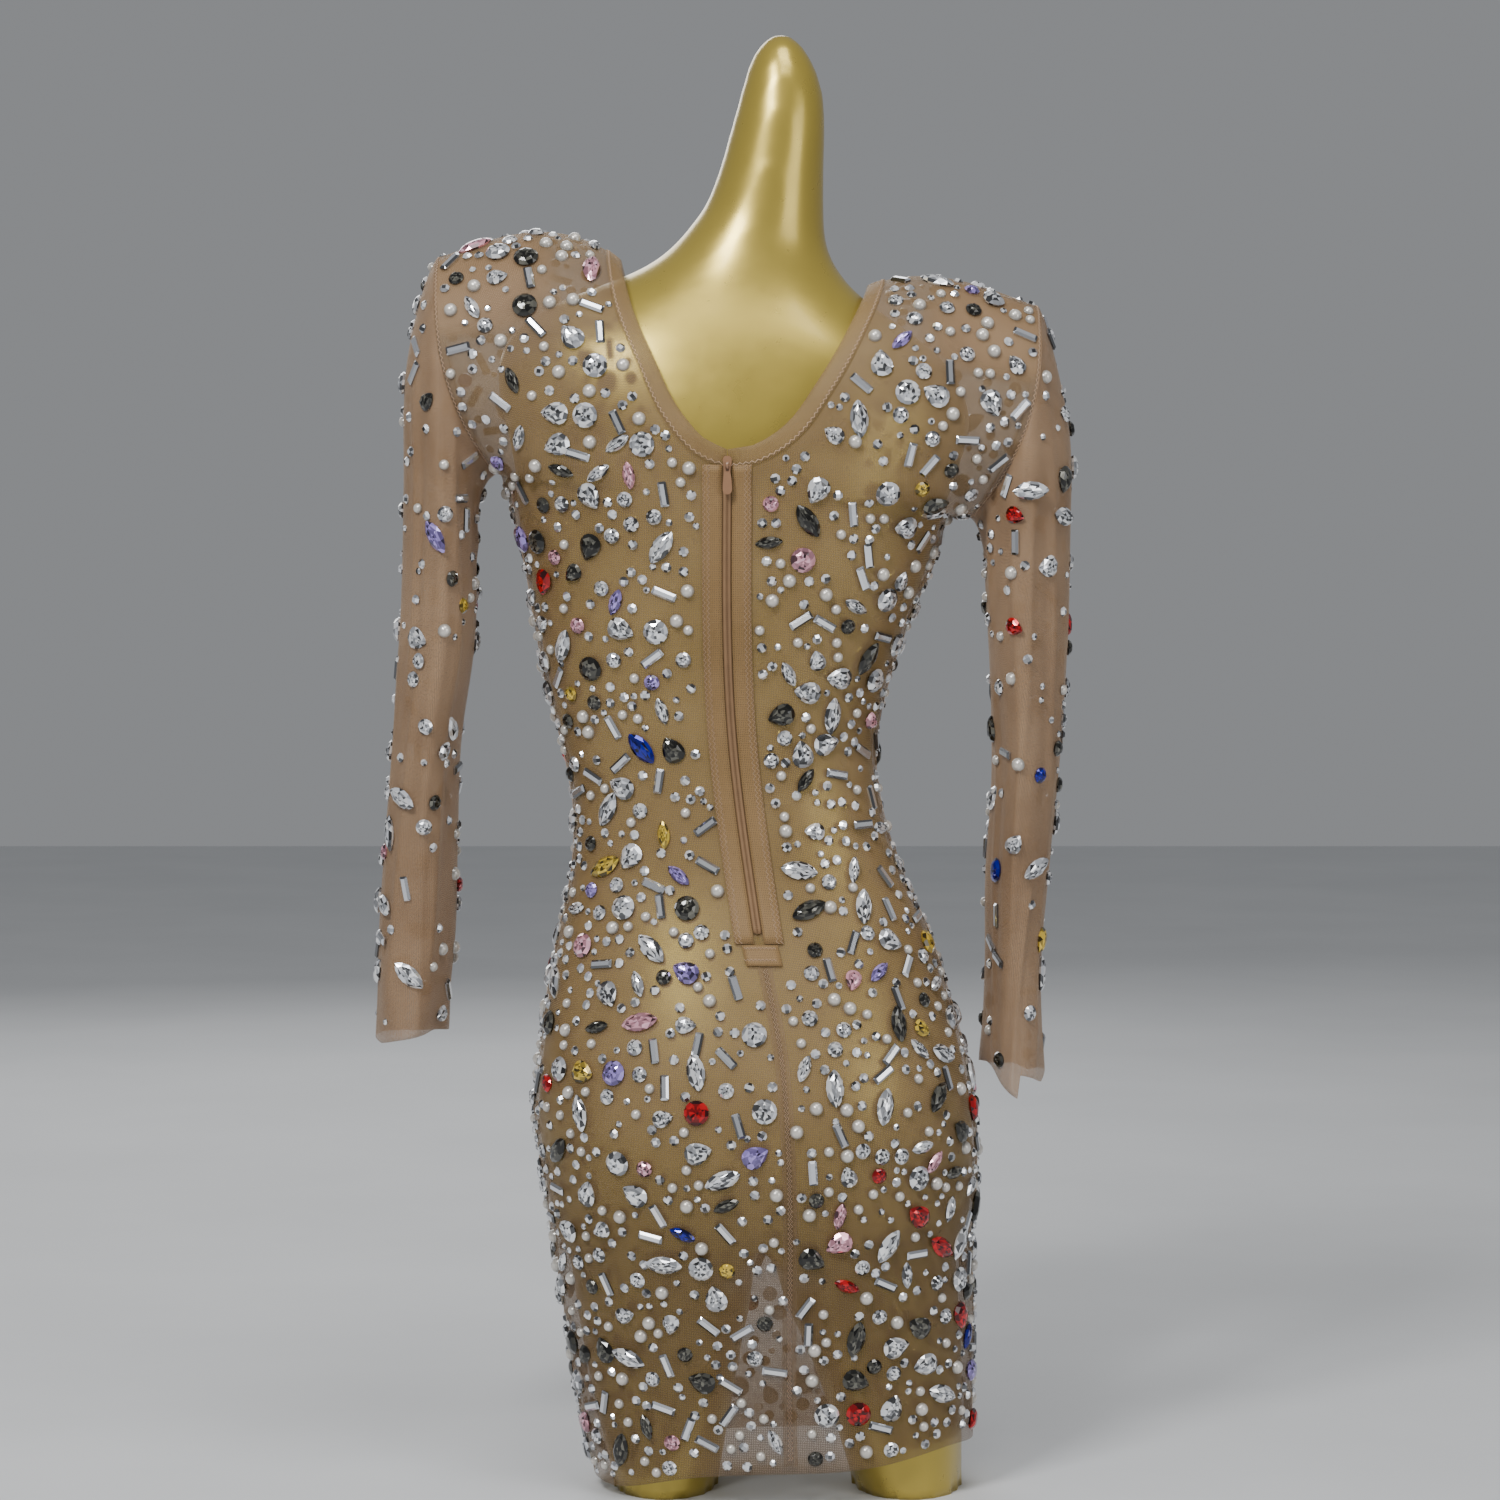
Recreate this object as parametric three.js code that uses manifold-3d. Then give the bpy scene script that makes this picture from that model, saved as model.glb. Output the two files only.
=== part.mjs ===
// A sheer mesh bodycon dress set with large crystals, on a limbless dress form.
// Millimetres. X runs to the dress's own left, Y to its back, Z up; the form stands on Z = 0.
import * as THREE from 'three';
import { mergeVertices } from 'three/addons/utils/BufferGeometryUtils.js';
import Module from 'manifold-3d';

const wasm = await Module();
wasm.setup();

// Driving sizes.
const CLOTH_WALL = 1.2; // mesh with its glue, as one wall
const SEAM_TRIM = 0.2; // each piece stops this far short of its seam
const FORM_INSET = 2; // the form's surface under the dress's outer surface
const LAID_ON = 0.4; // clearance under a strip that lies on a panel
const STRIP_WALL = 0.9; // folded band or facing
const COLUMNS = 8; // cells from the centre line to the side seam
const BODY_ROWS = 25; // cells from the hem to the underarm
const ARM_ROWS = 7; // cells from the underarm to the shoulder seam
const SLEEVE_ROWS = 20; // cells down a sleeve
const UNDERARM_CENTRE = 704; // height of the underarm ring at the centre lines
const NECK_BAND_WIDTH = 13;
const ZIP_FACING_WIDTH = 17;
const ZIP_HALF_GAP = 3.3; // from the centre back line to each panel along the zip
const COIL_HALF_WIDTH = 2.7;
const ZIP_END = 400; // height of the zip's lower end
const ZIP_OPENING_REACH = 15; // the panels stay parted this far below it
const NECK_ROW = 2; // rows from the underarm up to the neck edge's low point
const NECK_LOW = { back: 737, front: 752 }; // height of that low point
const STONE_HEIGHT = 3.4;
const STONE_STEP = 0.1; // its ring stands this far off the cloth
const CELL_MARGIN = 0.08; // share of a cell that a stone's ring leaves free at each border
const STONE_SHARE = 0.22; // cells that carry a large stone

// Turns rows of numbers into a function that reads a column at any height, smoothly.
function table(columns, rows) {
  const read = (name) => {
    const c = columns.indexOf(name);
    return (z) => {
      if (z <= rows[0][0]) return rows[0][c];
      const last = rows.length - 1;
      if (z >= rows[last][0]) return rows[last][c];
      let k = 0;
      while (rows[k + 1][0] < z) k++;
      const slope = (i) => {
        const a = rows[Math.max(i - 1, 0)];
        const b = rows[Math.min(i + 1, last)];
        return (b[c] - a[c]) / (b[0] - a[0]);
      };
      const span = rows[k + 1][0] - rows[k][0];
      const t = (z - rows[k][0]) / span;
      const [p, q] = [rows[k][c], rows[k + 1][c]];
      const [m, n] = [slope(k) * span, slope(k + 1) * span];
      return (2 * t ** 3 - 3 * t ** 2 + 1) * p + (t ** 3 - 2 * t ** 2 + t) * m
        + (3 * t ** 2 - 2 * t ** 3) * q + (t ** 3 - t ** 2) * n;
    };
  };
  return Object.fromEntries(columns.map((name) => [name, read(name)]));
}

// The dressed figure, level section by level section: its weight is on one leg.
const figure = table(['height', 'middle', 'halfWidth', 'back', 'front', 'square'], [
  [0, -29, 133, 80, -82, 2.6],
  [57, -22, 140, 85, -86, 2.6],
  [114, -18, 145, 94, -89, 2.5],
  [170, -13, 149, 106, -92, 2.4],
  [227, -10, 155, 118, -95, 2.3],
  [270, -7, 157, 121, -97, 2.3],
  [312, -5, 151, 114, -96, 2.3],
  [355, -2, 142, 100, -92, 2.3],
  [398, 1, 131, 84, -87, 2.3],
  [440, 6, 117, 71, -83, 2.3],
  [483, 12, 109.5, 65, -82, 2.3],
  [525, 18, 110.5, 65, -87, 2.3],
  [568, 20, 120, 70, -100, 2.3],
  [611, 17, 131, 77, -116, 2.4],
  [653, 12, 143, 83, -122, 2.4],
  [690, 10, 153, 87, -115, 2.4],
  [722, 9, 164, 90, -104, 2.4],
]);

// Where the centre back line runs across the figure.
const centreBack = table(['height', 'x'], [
  [0, -33], [85, -31], [223, -31], [312, -26], [374, -15], [401, -9], [518, 7], [603, 12], [740, 12],
]);

// Each side's neck edge, from its low point at the centre to the shoulder seam.
const NECK_EDGES = {
  leftBack: table(['height', 'x', 'y'], [
    [737, 12, 92], [744, 27, 92], [755, 38, 90], [772, 50, 86], [800, 63, 76],
    [831, 77, 60], [853, 84, 42], [865, 87, 22], [870, 88, 3],
  ]),
  rightBack: table(['height', 'x', 'y'], [
    [737, 12, 92], [740, -6, 92], [755, -29, 90], [779, -47, 84], [806, -64, 72],
    [830, -77, 52], [842, -83, 36], [849, -86, 19], [852, -87, 3],
  ]),
  leftFront: table(['height', 'x', 'y'], [
    [752, 0, -97], [757, 22, -96], [772, 43, -90], [800, 62, -76], [831, 76, -58],
    [853, 84, -38], [865, 87, -18], [870, 88, 3],
  ]),
  rightFront: table(['height', 'x', 'y'], [
    [752, 0, -97], [756, -22, -96], [769, -43, -90], [795, -60, -75], [820, -75, -57],
    [839, -83, -36], [848, -86, -16], [852, -87, 3],
  ]),
};

// Each side's armhole runs from the shoulder's tip to the underarm.
const SIDES = {
  left: { sign: 1, tip: [217, 872], underarm: [175, 721], shoulderRise: 20, neckHeight: 870 },
  right: { sign: -1, tip: [-207, 838], underarm: [-159, 690], shoulderRise: 13, neckHeight: 852 },
};
const ARMHOLE_BACK_DEPTH = 60;
const ARMHOLE_FRONT_DEPTH = 52;
const ARMHOLE_MIDDLE = 3; // y of the shoulder seam's outer end and of the underarm

// The sleeves hang empty, each ring from its inner to its outer edge.
const SLEEVES = {
  left: table(['down', 'outerX', 'outerZ', 'innerX', 'innerZ', 'halfDepth', 'y'], [
    [0, 217, 872, 175, 721, 60, 3],
    [0.04, 231, 846, 181, 717, 62, 3],
    [0.08, 237, 818, 186, 711, 63, 3],
    [0.16, 239, 767, 189, 690, 62, 2],
    [0.25, 239.5, 712, 189.5, 665, 60, 1],
    [0.4, 243, 626, 191, 602, 56, -3],
    [0.55, 250, 540, 202, 530, 51, -8],
    [0.7, 257, 463, 206, 458, 46, -14],
    [0.85, 262.5, 394, 209, 393, 42, -20],
    [1, 265, 330, 216, 332, 39, -25],
  ]),
  right: table(['down', 'outerX', 'outerZ', 'innerX', 'innerZ', 'halfDepth', 'y'], [
    [0, -207, 838, -159, 690, 60, 3],
    [0.04, -219, 812, -163, 687, 62, 3],
    [0.08, -224, 784, -166.5, 681, 63, 3],
    [0.16, -228.5, 735, -169, 660, 62, 2],
    [0.25, -228.5, 683, -170, 634, 60, 1],
    [0.4, -228, 600, -173.5, 574, 56, -3],
    [0.55, -224, 518, -175.5, 506, 51, -8],
    [0.7, -217.5, 440, -172.5, 435, 46, -14],
    [0.85, -212.5, 368, -173, 368, 42, -20],
    [1, -215, 300, -171, 304, 39, -25],
  ]),
};

const clamp01 = (t) => Math.min(1, Math.max(0, t));
const smooth = (t) => clamp01(t) ** 2 * (3 - 2 * clamp01(t));
const mix = (a, b, t) => a + (b - a) * t;
const power = (value, exponent) => Math.sign(value) * Math.abs(value) ** exponent;

// A point on the figure's level section; angle 0 is the back, a quarter turn the left side.
function sectionPoint(angle, z) {
  const n = 2 / figure.square(z);
  const depth = Math.cos(angle) >= 0 ? figure.back(z) : -figure.front(z);
  return new THREE.Vector3(
    figure.middle(z) + figure.halfWidth(z) * power(Math.sin(angle), n),
    depth * power(Math.cos(angle), n),
    z,
  );
}

// The section angle at which the surface passes a given x on the back.
function angleAtX(x, z) {
  const s = (x - figure.middle(z)) / figure.halfWidth(z);
  return Math.asin(power(s, figure.square(z) / 2));
}

// The raw hem dips on the left and waves a little.
const HEM = { middle: 23, tilt: 15, wave: 2, waves: 5 };
const hemHeight = (angle) => HEM.middle - HEM.tilt * Math.sin(angle) + HEM.wave * Math.sin(HEM.waves * angle);

// The armhole seam, turn 0 at the shoulder's tip and pi at the underarm; face 1 is the back.
function armhole(side, face, turn) {
  const { tip, underarm } = SIDES[side];
  const rise = (1 + Math.cos(turn)) / 2;
  const depth = face > 0 ? ARMHOLE_BACK_DEPTH : ARMHOLE_FRONT_DEPTH;
  return new THREE.Vector3(
    mix(underarm[0], tip[0], 1 - (1 - rise) ** 2.8),
    ARMHOLE_MIDDLE + face * depth * Math.sin(turn) ** 0.9,
    mix(underarm[1], tip[1], rise),
  );
}

// Outward direction at the armhole seam, shared by the panel and the sleeve.
function armholeNormal(side, face, turn) {
  const lean = 0.38 * SIDES[side].sign * (1 + Math.cos(turn));
  return new THREE.Vector3(lean, face * Math.sin(turn), Math.cos(turn)).normalize();
}

// One quarter of the body: across runs from the centre line to the side seam, up from the hem
// (0) to the underarm (BODY_ROWS) and on to the shoulder seam (BODY_ROWS + ARM_ROWS).
function quarterPoint(side, face, across, up) {
  const { sign, underarm, shoulderRise } = SIDES[side];
  const centreAngle = (z) => (face > 0 ? angleAtX(centreBack.x(z), z) : Math.PI);
  const sideAngle = (z) => {
    if (face > 0) return mix(centreAngle(z), sign * Math.PI / 2, across);
    return Math.PI - sign * (Math.PI / 2) * across;
  };
  if (up <= BODY_ROWS) {
    const top = mix(UNDERARM_CENTRE, underarm[1], across);
    const hem = hemHeight(sideAngle(HEM.middle));
    const z = mix(hem, top, up / BODY_ROWS);
    return sectionPoint(sideAngle(z), z);
  }
  const level = (up - BODY_ROWS) / ARM_ROWS;
  const outer = armhole(side, face, Math.PI * (1 - level));
  const neckName = side + (face > 0 ? 'Back' : 'Front');
  const neck = NECK_EDGES[neckName];
  const low = face > 0 ? NECK_LOW.back : NECK_LOW.front;
  const innerZ = level * ARM_ROWS <= NECK_ROW
    ? mix(UNDERARM_CENTRE, low, (level * ARM_ROWS) / NECK_ROW)
    : mix(low, SIDES[side].neckHeight, Math.sin(
      (Math.PI / 2) * ((level * ARM_ROWS - NECK_ROW) / (ARM_ROWS - NECK_ROW)) ** 1.3,
    ));
  const onEdge = innerZ > low;
  const centreX = face > 0 ? centreBack.x(innerZ) : 0;
  const innerX = onEdge ? neck.x(innerZ) : centreX;
  const ringDepth = sectionPoint(centreAngle(UNDERARM_CENTRE), UNDERARM_CENTRE).y;
  const innerY = onEdge ? neck.y(innerZ)
    : mix(ringDepth, neck.y(low), smooth((innerZ - UNDERARM_CENTRE) / (low - UNDERARM_CENTRE)));
  // Near the underarm a row keeps the section's round shape, higher up it is a shallow bow.
  const ring = sectionPoint(sideAngle(underarm[1]), mix(UNDERARM_CENTRE, underarm[1], across));
  const ringInner = sectionPoint(centreAngle(UNDERARM_CENTRE), UNDERARM_CENTRE);
  const ringOuter = sectionPoint(sign * Math.PI / 2, underarm[1]);
  const roundX = (ring.x - ringInner.x) / (ringOuter.x - ringInner.x);
  const roundY = ring.y / ringInner.y;
  const open = smooth(level * 2.2);
  const x = mix(innerX, outer.x, mix(roundX, across, open));
  const y = outer.y + (innerY - outer.y) * mix(roundY, 1 - across ** 2, open);
  const bow = shoulderRise * Math.sin(Math.PI * across ** 0.8) * smooth(level);
  return new THREE.Vector3(x, y, mix(innerZ, outer.z, across) + bow);
}

// An even scatter value from 0 to 1 for a cell, the same each time.
function scatter(i, j, key) {
  let h = Math.imul(i + 1, 374761393) ^ Math.imul(j + 1, 668265263) ^ Math.imul(key + 1, 1274126177);
  h = Math.imul(h ^ (h >>> 15), 2246822519);
  h = Math.imul(h ^ (h >>> 13), 3266489917);
  return ((h ^ (h >>> 16)) >>> 0) / 2 ** 32;
}

// Gathers a wall's outer points and cells, then closes it with a plain inside and rims.
class Wall {
  constructor(thickness) {
    this.thickness = thickness;
    this.points = [];
    this.normals = [];
    this.byPlace = new Map();
    this.outer = [];
    this.inner = [];
  }

  point(place, normal) {
    const key = [place.x, place.y, place.z].map((v) => Math.round(v * 200)).join(',');
    if (!this.byPlace.has(key)) {
      this.byPlace.set(key, this.points.length);
      this.points.push(place.clone());
      this.normals.push(normal.clone());
    } else {
      this.normals[this.byPlace.get(key)].add(normal);
    }
    return this.byPlace.get(key);
  }

  // A cell of four corners, counter-clockwise seen from outside; a stone may stand in it.
  cell(a, b, c, d, stone) {
    this.inner.push([a, b, c], [a, c, d]);
    if (!stone) {
      this.outer.push([a, b, c], [a, c, d]);
      return;
    }
    const corners = [a, b, c, d].map((i) => this.points[i]);
    const at = (s, t) => {
      const low = corners[0].clone().lerp(corners[1], s);
      return low.lerp(corners[3].clone().lerp(corners[2], s), t);
    };
    const normal = new THREE.Vector3().crossVectors(
      corners[2].clone().sub(corners[0]),
      corners[3].clone().sub(corners[1]),
    ).normalize();
    const extra = (place) => {
      this.points.push(place);
      this.normals.push(normal.clone());
      return this.points.length - 1;
    };
    const width = corners[0].distanceTo(corners[1]);
    const height = corners[0].distanceTo(corners[3]);
    const ring = [];
    for (let k = 0; k < 6; k++) {
      const t = (k / 6) * 2 * Math.PI;
      const [p, q] = [stone.length / 2 * Math.cos(t), stone.width / 2 * Math.sin(t)];
      const x = p * Math.cos(stone.turn) - q * Math.sin(stone.turn);
      const y = p * Math.sin(stone.turn) + q * Math.cos(stone.turn);
      const inside = (v, size) => Math.min(1 - CELL_MARGIN, Math.max(CELL_MARGIN, 0.5 + v / size));
      ring.push(extra(at(inside(x, width), inside(y, height)).addScaledVector(normal, STONE_STEP)));
    }
    const tip = extra(at(0.5, 0.5).addScaledVector(normal, STONE_HEIGHT));
    for (let k = 0; k < 6; k++) this.outer.push([ring[k], ring[(k + 1) % 6], tip]);
    this.skirt([a, b, c, d], ring);
  }

  // Fills between a cell's corners and a stone's ring, walking round both.
  skirt(corners, ring) {
    const centre = new THREE.Vector3();
    corners.forEach((i) => centre.addScaledVector(this.points[i], 0.25));
    const right = this.points[corners[1]].clone().sub(this.points[corners[0]]).normalize();
    const up = this.points[corners[3]].clone().sub(this.points[corners[0]]).normalize();
    const bearing = (i) => {
      const d = this.points[i].clone().sub(centre);
      return Math.atan2(d.dot(up), d.dot(right));
    };
    const order = (list) => list.map((i) => [bearing(i), i]).sort((p, q) => p[0] - q[0]);
    const [out, inn] = [order(corners), order(ring)];
    const bearingAfter = (list, k) => {
      if (k >= list.length) return Infinity;
      return list[(k + 1) % list.length][0] + (k + 1 === list.length ? 2 * Math.PI : 0);
    };
    let [i, j] = [0, 0];
    while (i < out.length || j < inn.length) {
      const o = out[i % out.length][1];
      const n = inn[j % inn.length][1];
      if (bearingAfter(out, i) < bearingAfter(inn, j)) {
        this.outer.push([o, out[(i + 1) % out.length][1], n]);
        i++;
      } else {
        this.outer.push([o, inn[(j + 1) % inn.length][1], n]);
        j++;
      }
    }
  }

  geometry() {
    const shared = this.points.length;
    const positions = [];
    this.points.forEach((p) => positions.push(p.x, p.y, p.z));
    this.points.forEach((p, i) => {
      const q = p.clone().addScaledVector(this.normals[i].clone().normalize(), -this.thickness);
      positions.push(q.x, q.y, q.z);
    });
    const faces = [...this.outer];
    const edges = new Map();
    this.inner.forEach(([a, b, c]) => {
      faces.push([c + shared, b + shared, a + shared]);
      [[a, b], [b, c], [c, a]].forEach(([p, q]) => {
        if (edges.has(`${q},${p}`)) edges.delete(`${q},${p}`);
        else edges.set(`${p},${q}`, [p, q]);
      });
    });
    edges.forEach(([p, q]) => faces.push([q, p, p + shared], [q, p + shared, q + shared]));
    const geometry = new THREE.BufferGeometry();
    geometry.setAttribute('position', new THREE.Float32BufferAttribute(positions, 3));
    geometry.setIndex(faces.flat());
    return dropUnused(geometry);
  }
}

// Leaves out points that no face uses.
function dropUnused(geometry) {
  return mergeVertices(geometry.toNonIndexed(), 1e-5);
}

// Moves each end of a row of points along the row by a seam's trim.
function trimEnds(row, first, last) {
  const shift = (p, towards, by) => p.clone().add(towards.clone().sub(p).setLength(by));
  const out = row.slice();
  if (first) out[0] = shift(row[0], row[1], first);
  if (last) out[row.length - 1] = shift(row[row.length - 1], row[row.length - 2], last);
  return out;
}

// The grid of one quarter: points and outward directions, trimmed at its seams.
function quarterGrid(side, face) {
  const step = 0.02;
  const { sign } = SIDES[side];
  const rows = [];
  const total = BODY_ROWS + ARM_ROWS;
  for (let j = 0; j <= total; j++) {
    const row = [];
    for (let i = 0; i <= COLUMNS; i++) row.push(quarterPoint(side, face, i / COLUMNS, j));
    let centreTrim = face > 0 ? SEAM_TRIM : 0;
    const besideZip = row[0].z > ZIP_END - ZIP_OPENING_REACH && row[0].z < NECK_LOW.back + 1;
    if (face > 0 && besideZip) centreTrim = ZIP_HALF_GAP;
    rows.push(trimEnds(row, centreTrim, SEAM_TRIM));
  }
  rows[total] = rows[total].map((p, i) => {
    const inwards = rows[total - 1][i].clone().sub(p).setLength(SEAM_TRIM);
    return p.clone().add(inwards);
  });
  const surface = rows.map((_, j) => Array.from(
    { length: COLUMNS + 1 },
    (_, i) => quarterPoint(side, face, i / COLUMNS, j),
  ));
  const normals = rows.map((row, j) => row.map((_, i) => {
    const a = i / COLUMNS;
    const [a0, a1] = [Math.max(0, a - step), Math.min(1, a + step)];
    const [j0, j1] = [Math.max(0, j - step * 4), Math.min(total, j + step * 4)];
    const du = quarterPoint(side, face, a1, j).sub(quarterPoint(side, face, a0, j));
    const dv = quarterPoint(side, face, a, j1).sub(quarterPoint(side, face, a, j0));
    const n = dv.cross(du).multiplyScalar(sign * face).normalize();
    if (i === COLUMNS && j >= BODY_ROWS) {
      const turn = Math.PI * (1 - (j - BODY_ROWS) / ARM_ROWS);
      return armholeNormal(side, face, turn);
    }
    if (j === total) {
      const tip = armholeNormal(side, face, 0);
      n.y = 0;
      n.normalize();
      return n.lerp(tip, a ** 3).normalize();
    }
    return n;
  }));
  return { rows, surface, normals, sign, face };
}

// Which large stone, if any, stands in a cell.
function stoneFor(i, j, key) {
  if (scatter(i, j, key) > STONE_SHARE) return null;
  const kind = scatter(i, j, key + 11);
  const turn = scatter(i, j, key + 23) * Math.PI;
  if (kind < 0.34) return { length: 17, width: 17, turn };
  if (kind < 0.7) return { length: 19, width: 13, turn };
  return { length: 22, width: 11, turn };
}

// Lays a grid into a wall, facing outwards.
function layGrid(wall, grid, key = 0) {
  const { rows, normals, sign, face } = grid;
  const index = rows.map((row, j) => row.map((p, i) => wall.point(p, normals[j][i])));
  const outward = sign * face < 0;
  for (let j = 0; j < rows.length - 1; j++) {
    for (let i = 0; i < rows[j].length - 1; i++) {
      const quad = [index[j][i], index[j][i + 1], index[j + 1][i + 1], index[j + 1][i]];
      const edgeCell = j === 0 || j >= rows.length - 2 || i >= rows[j].length - 2 && j >= BODY_ROWS;
      const stone = key && !edgeCell && i > 0 ? stoneFor(i, j, key) : null;
      if (outward) wall.cell(...quad, stone);
      else wall.cell(quad[1], quad[0], quad[3], quad[2], stone);
    }
  }
}

// The grids of the four quarters.
const quarters = {
  leftBack: quarterGrid('left', 1),
  rightBack: quarterGrid('right', 1),
  leftFront: quarterGrid('left', -1),
  rightFront: quarterGrid('right', -1),
};

function panel(names, keys) {
  const wall = new Wall(CLOTH_WALL);
  names.forEach((name, k) => layGrid(wall, quarters[name], keys[k]));
  return wall.geometry();
}

// A strip that lies on a panel along its centre line or neck edge, from its points, moved out.
// Its levels are rows of the panel's grid, whole or between two.
function edgeStrip(name, width, levels) {
  const { rows, normals, sign, face } = quarters[name];
  const between = (list, level, i) => list[Math.floor(level)][i].clone()
    .lerp(list[Math.ceil(level)][i], level - Math.floor(level));
  const strip = levels.map((level) => {
    const [edge, next] = [between(rows, level, 0), between(rows, level, 1)];
    const share = width / edge.distanceTo(next);
    const out = between(normals, level, 0).lerp(between(normals, level, 1), share / 2).normalize();
    const points = [edge, edge.clone().lerp(next, share)];
    return { out, points: points.map((p) => p.addScaledVector(out, LAID_ON + STRIP_WALL)) };
  });
  const trim = (row, next) => row.points.map((p, i) => p.clone()
    .add(next.points[i].clone().sub(p).setLength(SEAM_TRIM)));
  const last = strip.length - 1;
  const [first, end] = [trim(strip[0], strip[1]), trim(strip[last], strip[last - 1])];
  [strip[0].points, strip[last].points] = [first, end];
  const wall = new Wall(STRIP_WALL);
  const outwards = strip.map((row) => [row.out, row.out]);
  layGrid(wall, { rows: strip.map((row) => row.points), normals: outwards, sign, face });
  return wall.geometry();
}

// The patch over the centre seam just under the zip, from both panels' points, moved out.
function zipEndPatch(row, halfWidth, reach) {
  const wall = new Wall(STRIP_WALL);
  const levels = [0.02, reach].map((f) => {
    const corner = (name, d) => {
      const { rows } = quarters[name];
      const along = (j) => rows[j][0].clone().lerp(rows[j][1], d / rows[j][0].distanceTo(rows[j][1]));
      return along(row).lerp(along(row + 1), f);
    };
    const out = quarters.leftBack.normals[row][0];
    const middle = corner('leftBack', 0).lerp(corner('rightBack', 0), 0.5);
    return [corner('leftBack', halfWidth), middle, corner('rightBack', halfWidth)].map(
      (p) => wall.point(p.addScaledVector(out, LAID_ON + STRIP_WALL), out),
    );
  });
  [0, 1].forEach((i) => wall.cell(levels[0][i], levels[0][i + 1], levels[1][i + 1], levels[1][i], null));
  return wall.geometry();
}

const SLEEVE_COLUMNS = 2 * ARM_ROWS;
const SLEEVE_ROW_SPREAD = 1.15; // rows are closer at the armhole than at the cuff
const SLEEVE_STONE_SHARE = 0.6; // of the cells that would carry a stone on the body
const SEAM_BLEND = 0.14; // share of a sleeve over which it takes up the armhole's shape

// A point on a sleeve: round runs 0..1 from the outer edge over the back to the inner edge and
// home over the front; down runs 0..1 from the armhole to the cuff.
function sleevePoint(side, round, down) {
  const s = SLEEVES[side];
  const turn = round * 2 * Math.PI;
  const face = Math.sin(turn) >= 0 ? 1 : -1;
  const half = face > 0 ? turn : 2 * Math.PI - turn;
  const outer = new THREE.Vector3(s.outerX(down), s.y(down), s.outerZ(down));
  const inner = new THREE.Vector3(s.innerX(down), s.y(down), s.innerZ(down));
  const middle = outer.clone().add(inner).multiplyScalar(0.5);
  // Long soft folds run down the empty sleeve.
  const waves = 0.05 * Math.sin(3 * turn + 4 * down) + 0.035 * Math.sin(5 * turn - 3 * down);
  const fold = 1 + smooth(down * 5) * waves;
  const ring = middle.clone().addScaledVector(outer.clone().sub(middle), Math.cos(turn) * fold);
  ring.y += s.halfDepth(down) * Math.sin(turn) * fold;
  const seam = armhole(side, face, half);
  return ring.lerp(seam, 1 - smooth(down / SEAM_BLEND));
}

function sleeve(side, key) {
  const wall = new Wall(CLOTH_WALL);
  const { sign } = SIDES[side];
  const step = 0.004;
  const ringIndex = [];
  const downAt = (j) => (j / SLEEVE_ROWS) ** SLEEVE_ROW_SPREAD;
  for (let j = 0; j <= SLEEVE_ROWS; j++) {
    const down = downAt(j);
    const ring = [];
    for (let i = 0; i < SLEEVE_COLUMNS; i++) {
      const round = i / SLEEVE_COLUMNS;
      const place = sleevePoint(side, round, down);
      const du = sleevePoint(side, round + step, down).sub(sleevePoint(side, (round - step + 1) % 1, down));
      const [above, below] = [Math.max(0, down - step), Math.min(1, down + step)];
      const dv = sleevePoint(side, round, below).sub(sleevePoint(side, round, above));
      let normal = dv.cross(du).multiplyScalar(sign).normalize();
      if (j === 0) {
        const turn = round * 2 * Math.PI;
        const face = Math.sin(turn) >= 0 ? 1 : -1;
        normal = armholeNormal(side, face, face > 0 ? turn : 2 * Math.PI - turn);
        const next = sleevePoint(side, round, downAt(1));
        place.add(next.sub(place).setLength(SEAM_TRIM * 1.5));
      }
      ring.push(wall.point(place, normal));
    }
    ringIndex.push(ring);
  }
  for (let j = 0; j < SLEEVE_ROWS; j++) {
    for (let i = 0; i < SLEEVE_COLUMNS; i++) {
      const k = (i + 1) % SLEEVE_COLUMNS;
      const quad = [ringIndex[j][i], ringIndex[j][k], ringIndex[j + 1][k], ringIndex[j + 1][i]];
      const open = j > 1 && j < SLEEVE_ROWS - 1 && scatter(i, j, key + 5) < SLEEVE_STONE_SHARE;
      const stone = open ? stoneFor(i, j, key) : null;
      if (sign < 0) wall.cell(...quad, stone);
      else wall.cell(quad[1], quad[0], quad[3], quad[2], stone);
    }
  }
  return wall.geometry();
}

// Closes a stack of rings into a solid with flat or pointed ends.
function loft(rings) {
  const count = rings[0].length;
  const positions = rings.flat().flatMap((p) => [p.x, p.y, p.z]);
  const centre = (ring) => ring.reduce((sum, p) => sum.add(p), new THREE.Vector3()).divideScalar(count);
  const [bottom, top] = [centre(rings[0]), centre(rings[rings.length - 1])];
  positions.push(bottom.x, bottom.y, bottom.z, top.x, top.y, top.z);
  const [bottomIndex, topIndex] = [count * rings.length, count * rings.length + 1];
  const faces = [];
  for (let i = 0; i < count; i++) {
    const k = (i + 1) % count;
    for (let j = 0; j < rings.length - 1; j++) {
      const [a, b, c, d] = [j * count + i, j * count + k, (j + 1) * count + k, (j + 1) * count + i];
      faces.push(a, b, c, a, c, d);
    }
    const last = (rings.length - 1) * count;
    faces.push(bottomIndex, k, i, topIndex, last + i, last + k);
  }
  const geometry = new THREE.BufferGeometry();
  geometry.setAttribute('position', new THREE.Float32BufferAttribute(positions, 3));
  geometry.setIndex(faces);
  return geometry;
}

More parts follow.
